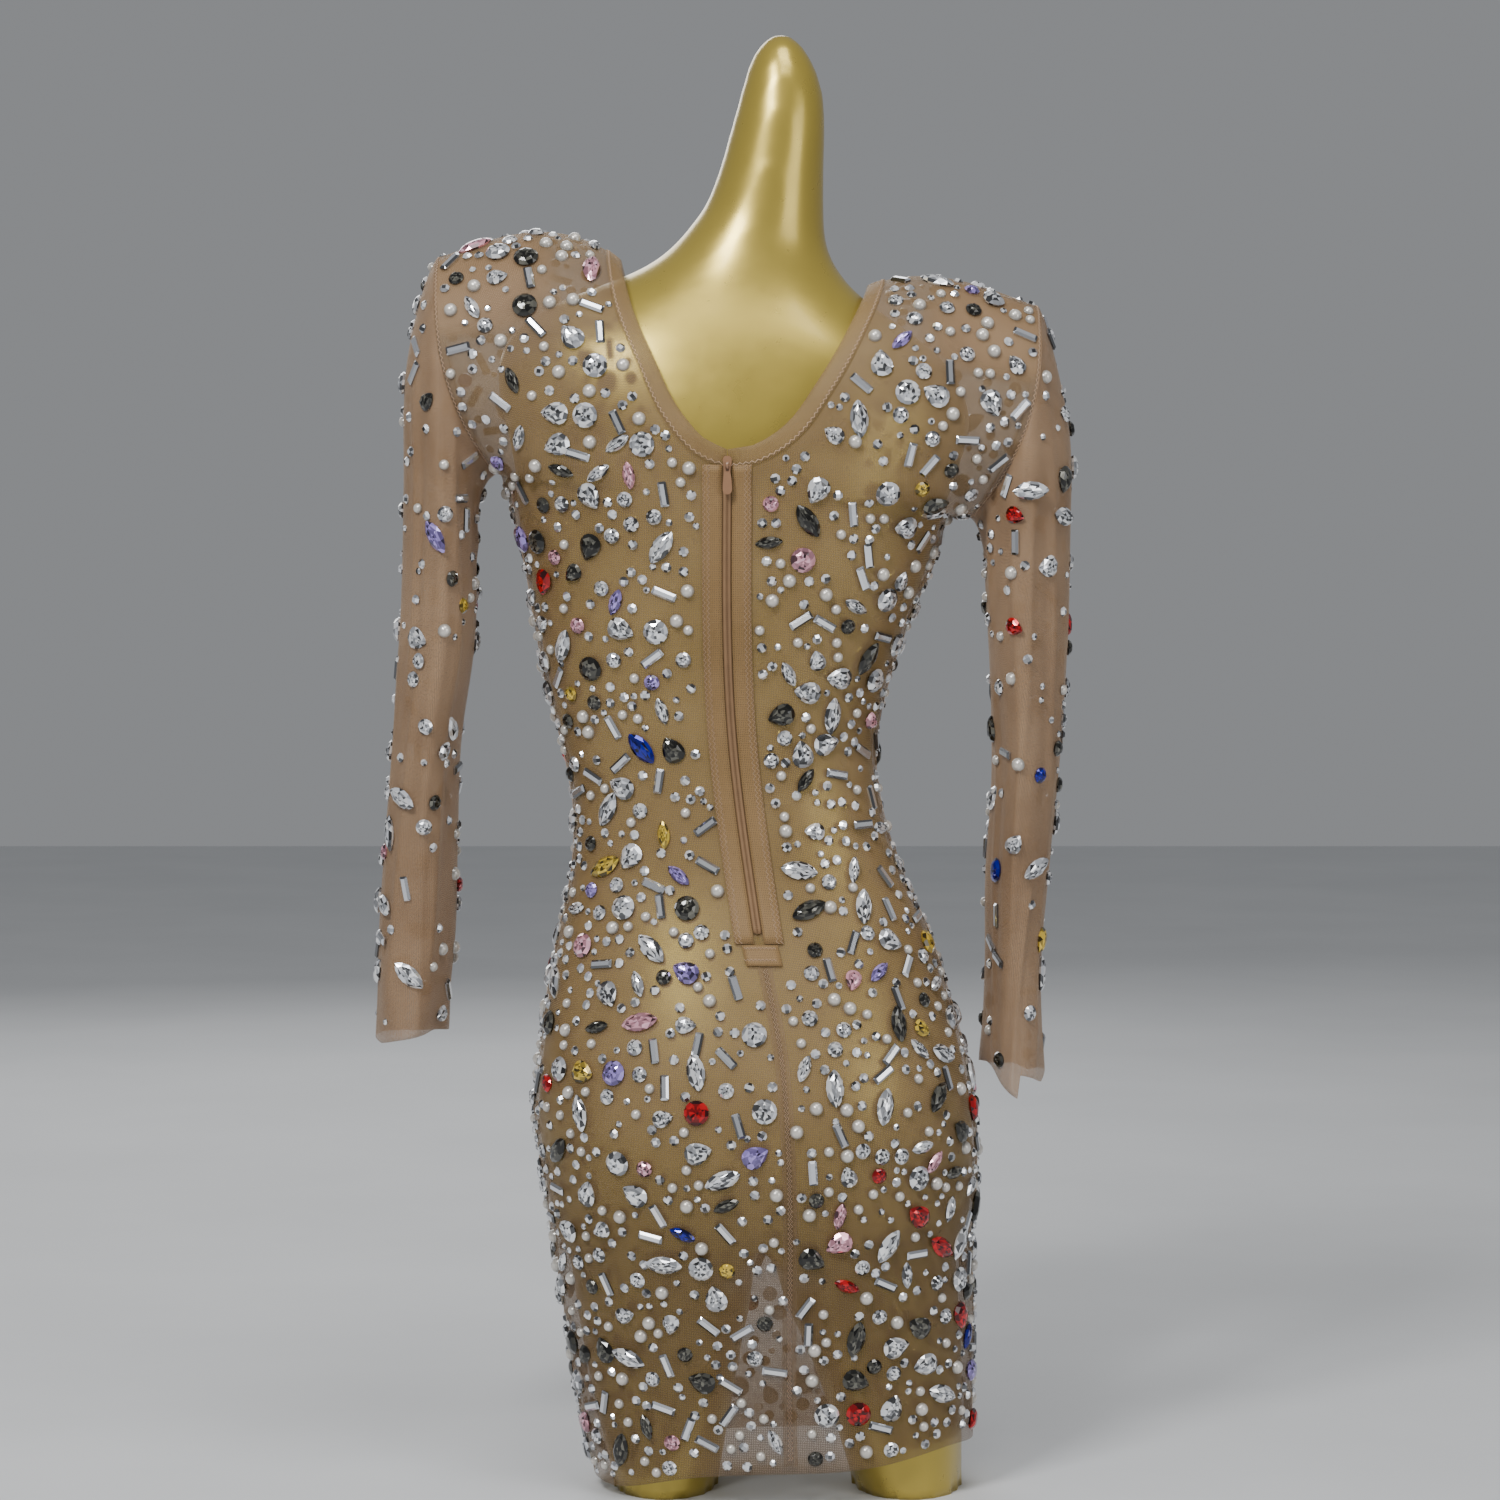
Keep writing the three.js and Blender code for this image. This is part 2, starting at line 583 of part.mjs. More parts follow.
function toSolid(geometry) {
  const bare = geometry.clone();
  ['normal', 'uv'].forEach((name) => bare.deleteAttribute(name));
  const merged = mergeVertices(bare, 1e-4);
  return new wasm.Manifold(new wasm.Mesh({
    numProp: 3,
    vertProperties: new Float32Array(merged.attributes.position.array),
    triVerts: new Uint32Array(merged.index.array),
  }));
}

function fromSolid(solid) {
  const mesh = solid.getMesh();
  const geometry = new THREE.BufferGeometry();
  geometry.setAttribute('position', new THREE.Float32BufferAttribute(mesh.vertProperties, 3));
  geometry.setIndex(Array.from(mesh.triVerts));
  return geometry;
}

// The form's own sections above the underarm: shoulders, neck and rounded tip.
const formTop = table(['height', 'middle', 'halfWidth', 'back', 'front', 'tilt'], [
  [704, 8, 152, 85, -102, 0.02],
  [730, 8, 158, 84, -92, 0.06],
  [760, 8, 167, 80, -82, 0.1],
  [785, 8, 168, 74, -72, 0.1],
  [808, 7, 156, 67, -63, 0.1],
  [826, 5, 134, 60, -57, 0.1],
  [841, 3, 106, 54, -52, 0.1],
  [855, 0, 80, 49, -48, 0.09],
  [870, -3, 62, 45, -45, 0.07],
  [886, -6, 51, 41, -42, 0.04],
  [908, -14, 42.5, 38, -40, 0.02],
  [935, -19, 37.5, 36, -38, 0],
  [966, -24, 34, 33, -36, 0],
  [992, -26.5, 29.5, 29, -31, 0],
  [1010, -26, 24, 24, -26, 0],
  [1023, -25, 17, 17, -19, 0],
  [1031, -25, 9, 9, -11, 0],
  [1034, -25, 2, 2, -4, 0],
]);

// Each thigh stub's section, from the standing face up into the hips.
const stubs = table(['height', 'leftX', 'leftHalf', 'rightX', 'rightHalf', 'back', 'front'], [
  [0, 57, 37, -117, 39, 60, -58],
  [60, 63, 45, -112, 44, 66, -64],
  [120, 66, 54, -101, 54, 74, -70],
  [175, 64, 62, -88, 62, 86, -74],
  [215, 62, 66, -80, 68, 96, -78],
]);

const FORM_SIDES = 4 * COLUMNS;
const STUB_SIDES = 16;
const STUB_RINGS = [0, 45, 90, 135, 175, 215];
const FORM_TOP_RINGS = [
  712, 734, 758, 780, 800, 817, 832, 845, 857, 870, 886, 908, 935, 966, 990, 1008, 1021, 1029, 1034,
];

function roundRing(sides, point) {
  return Array.from({ length: sides }, (_, k) => point((k / sides) * 2 * Math.PI));
}

// One of the dress's rows all the way round, moved in to the form's surface.
function rowInside(j) {
  const along = (name, list) => list.map((i) => quarters[name].surface[j][i].clone()
    .addScaledVector(quarters[name].normals[j][i], -FORM_INSET));
  const up = Array.from({ length: COLUMNS }, (_, i) => i);
  const down = up.map((i) => COLUMNS - i);
  return [...along('leftBack', up), ...along('leftFront', down),
    ...along('rightFront', up), ...along('rightBack', down)];
}

function dressForm() {
  const LOWEST_ROW = 6;
  const rings = [];
  // The torso's lower end is rounded where the thighs divide.
  const lowest = rowInside(LOWEST_ROW);
  const heart = lowest.reduce((sum, p) => sum.add(p), new THREE.Vector3()).divideScalar(lowest.length);
  [[40, 0.35], [33, 0.68], [16, 0.92]].forEach(([drop, share]) => {
    rings.push(lowest.map((p) => new THREE.Vector3(
      mix(heart.x, p.x, share),
      mix(heart.y, p.y, share),
      p.z - drop,
    )));
  });
  for (let j = LOWEST_ROW; j < BODY_ROWS; j++) rings.push(rowInside(j));
  FORM_TOP_RINGS.forEach((z) => {
    const round = 2 / mix(2.3, 2, smooth((z - 800) / 70));
    rings.push(roundRing(FORM_SIDES, (angle) => {
      const across = formTop.halfWidth(z) * power(Math.sin(angle), round);
      const reach = Math.cos(angle) >= 0 ? formTop.back(z) : -formTop.front(z);
      const depth = reach * power(Math.cos(angle), round);
      return new THREE.Vector3(formTop.middle(z) + across, depth, z + formTop.tilt(z) * across);
    }));
  });
  let solid = toSolid(loft(rings.map((ring) => ring.slice().reverse())));
  ['left', 'right'].forEach((side) => {
    const stub = loft(STUB_RINGS.map((z) => roundRing(STUB_SIDES, (angle) => new THREE.Vector3(
      stubs[`${side}X`](z) + stubs[`${side}Half`](z) * Math.cos(angle),
      (Math.sin(angle) >= 0 ? stubs.back(z) : -stubs.front(z)) * Math.sin(angle),
      z,
    ))));
    solid = solid.add(toSolid(stub));
  });
  return fromSolid(solid);
}

// A shoulder pad under the shoulder seam: thick at the sleeve, thin at its curved edge. It lies
// against the dress, so its outer side is the panels' points, moved in.
function shoulderPad(side) {
  const PAD_ROWS = 3; // rows of the panel's grid that it covers on each side
  const PAD_FIRST_COLUMN = 3;
  const PAD_SEAM_INSET = 0.2; // of a cell, from the armhole seam
  const PAD_CLEARANCE = 0.85;
  const PAD_RIM = 1.2; // thickness at its edges
  const PAD_LOFT = 9; // and that much more at the sleeve's head
  const total = BODY_ROWS + ARM_ROWS;
  const rings = [];
  for (let i = PAD_FIRST_COLUMN; i <= COLUMNS; i++) {
    const share = smooth((i - PAD_FIRST_COLUMN + 0.6) / (COLUMNS - PAD_FIRST_COLUMN));
    const outside = [];
    const inside = [];
    for (let a = -PAD_ROWS; a <= PAD_ROWS; a++) {
      const { surface, normals } = quarters[side + (a < 0 ? 'Front' : 'Back')];
      const reach = mix(0.6, 1, share);
      const row = total - Math.abs(a) * reach;
      const [low, high] = [Math.floor(row), Math.ceil(row)];
      const inset = i === COLUMNS ? PAD_SEAM_INSET : 0;
      const at = (list, j) => list[j][i].clone().lerp(list[j][Math.max(i - 1, 0)], inset);
      const p = at(surface, low).lerp(at(surface, high), row - low);
      const n = at(normals, low).lerp(at(normals, high), row - low).normalize();
      const edge = 1 - (a / PAD_ROWS) ** 2;
      const thickness = PAD_RIM + PAD_LOFT * edge * share;
      outside.push(p.clone().addScaledVector(n, -CLOTH_WALL - PAD_CLEARANCE));
      inside.push(p.clone().addScaledVector(n, -CLOTH_WALL - PAD_CLEARANCE - thickness));
    }
    rings.push([...outside, ...inside.reverse()]);
  }
  return loft(SIDES[side].sign < 0 ? rings : rings.reverse());
}

// The back's surface beside the zip, with its outward direction.
function backSurface(x, z) {
  const p = sectionPoint(angleAtX(x, z), z);
  const q = sectionPoint(angleAtX(x + 0.5, z), z).sub(p);
  const r = sectionPoint(angleAtX(x, z + 0.5), z + 0.5).sub(p);
  return { place: p, normal: r.cross(q).normalize() };
}

// A narrow wall that follows the centre back line between two heights.
function centreStrip(heights, halfWidth, lift, thickness) {
  const wall = new Wall(thickness);
  const index = heights.map((z) => [-halfWidth, halfWidth].map((d) => {
    const { place, normal } = backSurface(centreBack.x(z) + d, z);
    if (normal.y < 0) normal.negate();
    return wall.point(place.addScaledVector(normal, lift), normal);
  }));
  for (let j = 0; j < heights.length - 1; j++) {
    wall.cell(index[j][1], index[j][0], index[j + 1][0], index[j + 1][1], null);
  }
  return wall.geometry();
}

// Slider, bail and pull tab at the head of the zip.
const SLIDER = { x: 12, z: 727, width: 6.2, height: 11, thickness: 2.6, gap: 0.5 };
const BAIL = { radius: 1.75, thickness: 0.8, width: 1.5, rise: 0.7 };
const PULL = { length: 20, width: 6.4, neck: 3.8, thickness: 0.9, hole: 1.5, bar: 1, eyeDepth: 4.2 };
const CURVE_STEPS = 8;
const zipFace = backSurface(SLIDER.x, SLIDER.z).place.y; // y of the back's outer surface there
const sliderFace = zipFace + CLOTH_WALL + SLIDER.gap + SLIDER.thickness; // y of the slider's outer face
const pivot = new THREE.Vector3(SLIDER.x, sliderFace + BAIL.rise + 0.5, SLIDER.z - 1);

function plate(outline, depth) {
  return new THREE.ExtrudeGeometry(outline, { depth, bevelEnabled: false, curveSegments: CURVE_STEPS });
}

function zipSlider() {
  const { width, height, thickness } = SLIDER;
  const outline = new THREE.Shape();
  outline.moveTo(-width * 0.36, -height / 2);
  outline.lineTo(width * 0.36, -height / 2);
  outline.lineTo(width / 2, height * 0.2);
  outline.quadraticCurveTo(width / 2, height / 2, 0, height / 2);
  outline.quadraticCurveTo(-width / 2, height / 2, -width / 2, height * 0.2);
  outline.closePath();
  const body = plate(outline, thickness);
  body.rotateX(Math.PI / 2);
  body.translate(SLIDER.x, sliderFace, SLIDER.z);
  const arch = new THREE.Shape();
  arch.absarc(0, 0, BAIL.radius + BAIL.thickness, 0, Math.PI, false);
  arch.lineTo(-BAIL.radius - BAIL.thickness, -BAIL.rise - 1);
  arch.lineTo(-BAIL.radius, -BAIL.rise - 1);
  arch.absarc(0, 0, BAIL.radius, Math.PI, 0, true);
  arch.lineTo(BAIL.radius, -BAIL.rise - 1);
  arch.lineTo(BAIL.radius + BAIL.thickness, -BAIL.rise - 1);
  arch.closePath();
  const bail = plate(arch, BAIL.width);
  bail.translate(0, 0, -BAIL.width / 2);
  // The arch's own up goes outwards (Y) and its run along Z.
  const turned = new THREE.Matrix4().makeBasis(
    new THREE.Vector3(0, 0, 1), new THREE.Vector3(0, 1, 0), new THREE.Vector3(-1, 0, 0),
  );
  bail.applyMatrix4(turned);
  bail.translate(pivot.x, pivot.y, pivot.z);
  return fromSolid(toSolid(body).add(toSolid(bail)));
}

function zipPull() {
  const { length, width, neck, thickness, hole, bar, eyeDepth } = PULL;
  const outline = new THREE.Shape();
  outline.moveTo(-neck / 2, bar / 2);
  outline.lineTo(-neck / 2, -4);
  outline.quadraticCurveTo(-width / 2, -length * 0.5, -width / 2, -length + width / 2);
  outline.absarc(0, -length + width / 2, width / 2, Math.PI, 2 * Math.PI, false);
  outline.quadraticCurveTo(width / 2, -length * 0.5, neck / 2, -4);
  outline.lineTo(neck / 2, bar / 2);
  outline.closePath();
  const eye = new THREE.Path();
  eye.moveTo(-hole * 0.8, -bar / 2);
  eye.lineTo(hole * 0.8, -bar / 2);
  eye.lineTo(hole * 0.8, -eyeDepth);
  eye.lineTo(-hole * 0.8, -eyeDepth);
  eye.closePath();
  outline.holes.push(eye);
  const tab = plate(outline, thickness);
  tab.translate(0, 0, -thickness / 2);
  tab.rotateX(Math.PI / 2);
  tab.translate(pivot.x, pivot.y, pivot.z);
  return tab;
}

function material(color, roughness, metalness = 0) {
  return new THREE.MeshStandardMaterial({ color, roughness, metalness });
}

// The origin lies under the middle of the bounding box.
const MIDDLE = { x: 16.4, y: -0.5 };
const dress = new THREE.Group();
dress.position.set(-MIDDLE.x, -MIDDLE.y, 0);

function place(name, geometry, finish) {
  const bare = geometry.clone();
  ['normal', 'uv'].forEach((attribute) => bare.deleteAttribute(attribute));
  const mesh = new THREE.Mesh(bare, finish);
  mesh.name = name;
  dress.add(mesh);
}

const meshCloth = material(0xb8936b, 0.7);
const doubledCloth = material(0xa87f5c, 0.75);
const formPaint = material(0xb49b56, 0.3, 0.6);
const padFelt = material(0xc79f7f, 0.9);
const zipMetal = material(0xb58f6c, 0.45, 0.3);

place('dress_form', dressForm(), formPaint);
place('back_left', panel(['leftBack'], [3]), meshCloth);
place('back_right', panel(['rightBack'], [7]), meshCloth);
place('front', panel(['leftFront', 'rightFront'], [13, 17]), meshCloth);
place('sleeve_left', sleeve('left', 29), meshCloth);
place('sleeve_right', sleeve('right', 31), meshCloth);
place('shoulder_pad_left', shoulderPad('left'), padFelt);
place('shoulder_pad_right', shoulderPad('right'), padFelt);

// The neck bands pass under the neck edge's low point, and the zip's facings end below them.
const neckRow = BODY_ROWS + NECK_ROW;
const whole = (from, to) => Array.from({ length: to - from + 1 }, (_, k) => from + k);
const bandStart = (low) => neckRow - (NECK_BAND_WIDTH * NECK_ROW) / (low - UNDERARM_CENTRE);
const bandLevels = (low) => [bandStart(low), ...whole(neckRow, BODY_ROWS + ARM_ROWS)];
const zipRow = quarters.leftBack.rows.findIndex((row) => row[0].z >= ZIP_END - 1);
['left', 'right'].forEach((side) => {
  const back = edgeStrip(`${side}Back`, NECK_BAND_WIDTH, bandLevels(NECK_LOW.back));
  place(`neck_band_${side}`, back, doubledCloth);
  const front = edgeStrip(`${side}Front`, NECK_BAND_WIDTH, bandLevels(NECK_LOW.front));
  place(`neck_band_front_${side}`, front, doubledCloth);
  const levels = [...whole(zipRow, neckRow - 1), bandStart(NECK_LOW.back)];
  const facing = edgeStrip(`${side}Back`, ZIP_FACING_WIDTH - ZIP_HALF_GAP, levels);
  place(`zip_facing_${side}`, facing, doubledCloth);
});
const COIL = { steps: 12, from: ZIP_END + 5, to: NECK_LOW.back - 4, lift: 1.2, thickness: 2 };
const coilHeights = Array.from({ length: COIL.steps + 1 }, (_, k) => mix(COIL.from, COIL.to, k / COIL.steps));
place('zip_coil', centreStrip(coilHeights, COIL_HALF_WIDTH, COIL.lift, COIL.thickness), zipMetal);
const PATCH = { halfWidth: 11, reach: 0.5 }; // reach is its share of the row under the zip
place('zip_end_patch', zipEndPatch(zipRow - 1, PATCH.halfWidth, PATCH.reach), doubledCloth);
place('zip_slider', zipSlider(), zipMetal);
place('zip_pull', zipPull(), zipMetal);

export default dress;
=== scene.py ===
import math

import bmesh
import bpy
import numpy as np
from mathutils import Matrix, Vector
from mathutils.bvhtree import BVHTree


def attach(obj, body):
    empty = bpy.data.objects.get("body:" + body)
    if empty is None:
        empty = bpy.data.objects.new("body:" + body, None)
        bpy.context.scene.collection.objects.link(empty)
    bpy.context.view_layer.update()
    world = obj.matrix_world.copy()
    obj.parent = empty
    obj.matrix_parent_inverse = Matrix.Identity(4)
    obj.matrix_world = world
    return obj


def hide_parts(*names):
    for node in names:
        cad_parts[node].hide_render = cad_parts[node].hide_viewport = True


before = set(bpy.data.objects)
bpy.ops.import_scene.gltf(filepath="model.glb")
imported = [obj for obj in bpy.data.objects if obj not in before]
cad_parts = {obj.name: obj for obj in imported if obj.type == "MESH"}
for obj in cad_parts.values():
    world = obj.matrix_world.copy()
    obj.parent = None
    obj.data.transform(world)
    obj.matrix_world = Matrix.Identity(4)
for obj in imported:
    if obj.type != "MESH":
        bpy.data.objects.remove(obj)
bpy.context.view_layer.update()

# The dress form: a hollow glass-fibre torso with a tapered neck and two short thigh stubs, painted
# gloss gold. It is one moulded shell, so it shows no seams, and the dress is pulled on over it.
FORM_VOXEL = 0.0045
FORM_SMOOTHING = 26
STANDING_EDGE = 0.004  # below this the form's flat standing faces keep their height
# The gap between the thighs, in metres: height, middle, half width of the solid and of this form.
THIGH_GAP = [
    (0.0, -0.0454, 0.049, 0.048),
    (0.03, -0.0440, 0.047, 0.041),
    (0.06, -0.0414, 0.043, 0.033),
    (0.1, -0.0361, 0.034, 0.021),
    (0.13, -0.0321, 0.027, 0.011),
    (0.175, -0.0264, 0.016, 0.005),
    (0.21, -0.0244, 0.008, 0.006),
    (0.33, -0.0214, 0.008, 0.008),
]
GAP_ROOF_START, GAP_TOP = 0.12, 0.186
GAP_REACH = 0.04  # how far into a thigh the drawing together is felt
CLEFT_START, CLEFT_TOP = 0.15, 0.325
CLEFT_DEPTH, CLEFT_HALF = 0.009, 0.009
CLEFT_TOP_FADE, CLEFT_LOW_FADE = 0.08, 0.03


def ride_on_dress(piece):
    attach(piece, "dress")
    return piece


def add_mesh(name, mesh, material):
    piece = bpy.data.objects.new(name, mesh)
    bpy.context.collection.objects.link(piece)
    piece.data.materials.append(material)
    return ride_on_dress(piece)


def new_material(name):
    """A material with its Principled shader, and the node tree that they sit in."""
    material = bpy.data.materials.new(name)
    material.use_nodes = True
    tree = material.node_tree
    return material, tree, tree.nodes["Principled BSDF"]


def place_node(tree, kind, values=None, **settings):
    node = tree.nodes.new(kind)
    for key, value in settings.items():
        setattr(node, key, value)
    for key, value in (values or {}).items():
        node.inputs[key].default_value = value
    return node


def set_inputs(shader, **values):
    for key, value in values.items():
        shader.inputs[key.replace("_", " ")].default_value = value


def mesh_of(body, name):
    """The finished mesh of a bmesh, which is let go."""
    mesh = bpy.data.meshes.new(name)
    body.to_mesh(mesh)
    body.free()
    return mesh


def new_group(name, taken, value, given):
    """A group of shader nodes that takes one number and gives one, with its two end nodes."""
    group = bpy.data.node_groups.new(name, "ShaderNodeTree")
    face = group.interface
    face.new_socket(taken, in_out="INPUT", socket_type="NodeSocketFloat").default_value = value
    face.new_socket(given, in_out="OUTPUT", socket_type="NodeSocketFloat")
    return group, group.nodes.new("NodeGroupInput"), group.nodes.new("NodeGroupOutput")


def soft_mottle_group():
    """Slow uneven colour over a surface, in Object coordinates, as a mask from 0 to 1."""
    group, start, end = new_group("soft_mottle", "Scale", 30, "Mask")
    place = group.nodes.new("ShaderNodeTexCoord")
    noise = place_node(group, "ShaderNodeTexNoise", {"Detail": 4.0, "Roughness": 0.55})
    spread = place_node(group, "ShaderNodeMapRange", {"From Min": 0.32, "From Max": 0.68})
    group.links.new(place.outputs["Object"], noise.inputs["Vector"])
    group.links.new(start.outputs["Scale"], noise.inputs["Scale"])
    group.links.new(noise.outputs["Fac"], spread.inputs["Value"])
    group.links.new(spread.outputs["Result"], end.inputs["Mask"])
    return group


soft_mottle = soft_mottle_group()


def mottle_mask(tree, scale):
    mottle = place_node(tree, "ShaderNodeGroup", node_tree=soft_mottle)
    mottle.inputs["Scale"].default_value = scale
    return mottle.outputs["Mask"]


def tint_unevenly(tree, shader, scale, low, high):
    """Gives a shader a colour that wanders between low and high over the surface."""
    blend = place_node(tree, "ShaderNodeMix", data_type="RGBA")
    blend.inputs["A"].default_value = (*low, 1)
    blend.inputs["B"].default_value = (*high, 1)
    tree.links.new(mottle_mask(tree, scale), blend.inputs["Factor"])
    tree.links.new(blend.outputs["Result"], shader.inputs["Base Color"])
    return blend.outputs["Result"]


def gold_paint():
    material, tree, shader = new_material("gold_paint")
    tint_unevenly(tree, shader, 4, (0.46, 0.345, 0.06), (0.50, 0.375, 0.075))
    rough = place_node(tree, "ShaderNodeMapRange", {"To Min": 0.27, "To Max": 0.31})
    tree.links.new(mottle_mask(tree, 60), rough.inputs["Value"])
    tree.links.new(rough.outputs["Result"], shader.inputs["Roughness"])
    set_inputs(shader, Metallic=0.62, Coat_Weight=0.25, Coat_Roughness=0.12)
    return material


def part_thighs(p):
    """Draws the thighs together towards the crotch and parts the seat above it with a soft cleft."""
    if not 0 < p.z <= CLEFT_TOP:
        return p
    heights = [row[0] for row in THIGH_GAP]
    middle, wide, narrow = (np.interp(p.z, heights, [row[c] for row in THIGH_GAP]) for c in (1, 2, 3))
    off = p.x - middle
    reach = max(0.0, 1 - max(0.0, abs(off) - wide) / GAP_REACH)
    draw = (wide - narrow) * reach * min(1.0, abs(off) / max(wide, 1e-4))
    x, y, z = p.x - math.copysign(draw, off), p.y, p.z
    if GAP_ROOF_START < p.z < GAP_TOP and abs(x - middle) < narrow:
        z += (GAP_TOP - p.z) * (1 - (abs(x - middle) / narrow) ** 2)
    if y > 0 and z > CLEFT_START:
        end = min(1.0, (CLEFT_TOP - p.z) / CLEFT_TOP_FADE, (z - CLEFT_START) / CLEFT_LOW_FADE)
        y -= CLEFT_DEPTH * end * math.exp(-(((x - middle) / CLEFT_HALF) ** 2))
    return Vector((x, y, z))


def smooth_form():
    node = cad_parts["dress_form"]
    body = bmesh.new()
    body.from_mesh(node.data)
    bmesh.ops.remove_doubles(body, verts=body.verts, dist=1e-5)
    piece = bpy.data.objects.new("gold_form", mesh_of(body, "gold_form"))
    bpy.context.collection.objects.link(piece)
    remesh = piece.modifiers.new("even_faces", "REMESH")
    remesh.mode = "VOXEL"
    remesh.voxel_size = FORM_VOXEL
    baked = bpy.data.meshes.new_from_object(piece.evaluated_get(bpy.context.evaluated_depsgraph_get()))
    piece.modifiers.clear()
    body = bmesh.new()
    body.from_mesh(baked)
    for v in body.verts:
        v.co = part_thighs(v.co)
    flat = [v for v in body.verts if v.co.z < STANDING_EDGE]
    free = [v for v in body.verts if v.co.z >= STANDING_EDGE]
    for _ in range(FORM_SMOOTHING):
        bmesh.ops.smooth_vert(body, verts=free, factor=0.5, use_axis_x=True, use_axis_y=True, use_axis_z=True)
    bmesh.ops.remove_doubles(body, verts=free, dist=FORM_VOXEL / 4)
    for v in flat:
        v.co.z = 0
    for f in body.faces:
        f.smooth = True
    body.to_mesh(baked)
    body.free()
    piece.data = baked
    baked.name = "gold_form"
    baked.materials.append(gold_paint())
    ride_on_dress(piece)
    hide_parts("dress_form")


smooth_form()

# The shape of the dressed figure, that every cut piece of mesh is stretched over. Sizes are in
# millimetres, as the panels are drafted, and turn into metres as points are made.
ORIGIN = (16.4, -0.5)  # from the drafting axes to the part's own origin
UNDERARM_CENTRE = 704
BODY_ROWS = 25
ARM_ROWS = 7
NECK_ROW = 2
NECK_LOW = {"back": 737, "front": 752}
COLUMNS = 8


def metres(x, y, z):
    return Vector((x - ORIGIN[0], y - ORIGIN[1], z)) / 1000


def mix(a, b, t):
    return a + (b - a) * t


def smooth(t):
    t = min(1, max(0, t))
    return t * t * (3 - 2 * t)


def power(value, exponent):
    return math.copysign(abs(value) ** exponent, value)


class Table:
    """Rows of sizes by height, read smoothly at any height."""

    def __init__(self, columns, rows):
        self.rows = rows
        for c, name in enumerate(columns[1:], start=1):
            setattr(self, name, lambda z, c=c: self.read(z, c))

    def slope(self, i, c):
        a, b = self.rows[max(i - 1, 0)], self.rows[min(i + 1, len(self.rows) - 1)]
        return (b[c] - a[c]) / (b[0] - a[0])

    def read(self, z, c):
        rows = self.rows
        if z <= rows[0][0]:
            return rows[0][c]
        if z >= rows[-1][0]:
            return rows[-1][c]
        k = 0
        while rows[k + 1][0] < z:
            k += 1
        span = rows[k + 1][0] - rows[k][0]
        t = (z - rows[k][0]) / span
        m, n = self.slope(k, c) * span, self.slope(k + 1, c) * span
        return (
            (2 * t**3 - 3 * t**2 + 1) * rows[k][c] + (t**3 - 2 * t**2 + t) * m
            + (3 * t**2 - 2 * t**3) * rows[k + 1][c] + (t**3 - t**2) * n
        )


figure = Table(["height", "middle", "half_width", "back", "front", "square"], [
    [0, -29, 133, 80, -82, 2.6],
    [57, -22, 140, 85, -86, 2.6],
    [114, -18, 145, 94, -89, 2.5],
    [170, -13, 149, 106, -92, 2.4],
    [227, -10, 155, 118, -95, 2.3],
    [270, -7, 157, 121, -97, 2.3],
    [312, -5, 151, 114, -96, 2.3],
    [355, -2, 142, 100, -92, 2.3],
    [398, 1, 131, 84, -87, 2.3],
    [440, 6, 117, 71, -83, 2.3],
    [483, 12, 109.5, 65, -82, 2.3],
    [525, 18, 110.5, 65, -87, 2.3],
    [568, 20, 120, 70, -100, 2.3],
    [611, 17, 131, 77, -116, 2.4],
    [653, 12, 143, 83, -122, 2.4],
    [690, 10, 153, 87, -115, 2.4],
    [722, 9, 164, 90, -104, 2.4],
])
centre_back = Table(["height", "x"], [
    [0, -33], [85, -31], [223, -31], [312, -26], [374, -15], [401, -9], [518, 7], [603, 12], [740, 12],
])
NECK_EDGES = {
    ("left", 1): Table(["height", "x", "y"], [
        [737, 12, 92], [744, 27, 92], [755, 38, 90], [772, 50, 86], [800, 63, 76],
        [831, 77, 60], [853, 84, 42], [865, 87, 22], [870, 88, 3],
    ]),
    ("right", 1): Table(["height", "x", "y"], [
        [737, 12, 92], [740, -6, 92], [755, -29, 90], [779, -47, 84], [806, -64, 72],
        [830, -77, 52], [842, -83, 36], [849, -86, 19], [852, -87, 3],
    ]),
    ("left", -1): Table(["height", "x", "y"], [
        [752, 0, -97], [757, 22, -96], [772, 43, -90], [800, 62, -76], [831, 76, -58],
        [853, 84, -38], [865, 87, -18], [870, 88, 3],
    ]),
    ("right", -1): Table(["height", "x", "y"], [
        [752, 0, -97], [756, -22, -96], [769, -43, -90], [795, -60, -75], [820, -75, -57],
        [839, -83, -36], [848, -86, -16], [852, -87, 3],
    ]),
}
SIDES = {
    "left": {"sign": 1, "tip": (217, 872), "underarm": (175, 721), "rise": 20, "neck": 870},
    "right": {"sign": -1, "tip": (-207, 838), "underarm": (-159, 690), "rise": 13, "neck": 852},
}
ARMHOLE_DEPTH = {1: 60, -1: 52}
ARMHOLE_MIDDLE = 3
ARMHOLE_LEAN, ARMHOLE_ROUND = 2.8, 0.9  # powers that shape the armhole's ring
NECK_EASE, YOKE_OPENING, BOW_LEAN = 1.3, 2.2, 0.8  # the same for the rows above the underarm
HEM = {"middle": 23, "tilt": 15, "wave": 2, "waves": 5}


def section_point(angle, z):
    n = 2 / figure.square(z)
    depth = figure.back(z) if math.cos(angle) >= 0 else -figure.front(z)
    return (
        figure.middle(z) + figure.half_width(z) * power(math.sin(angle), n),
        depth * power(math.cos(angle), n),
        z,
    )


def angle_at_x(x, z):
    s = (x - figure.middle(z)) / figure.half_width(z)
    return math.asin(power(s, figure.square(z) / 2))


def hem_height(angle):
    return HEM["middle"] - HEM["tilt"] * math.sin(angle) + HEM["wave"] * math.sin(HEM["waves"] * angle)


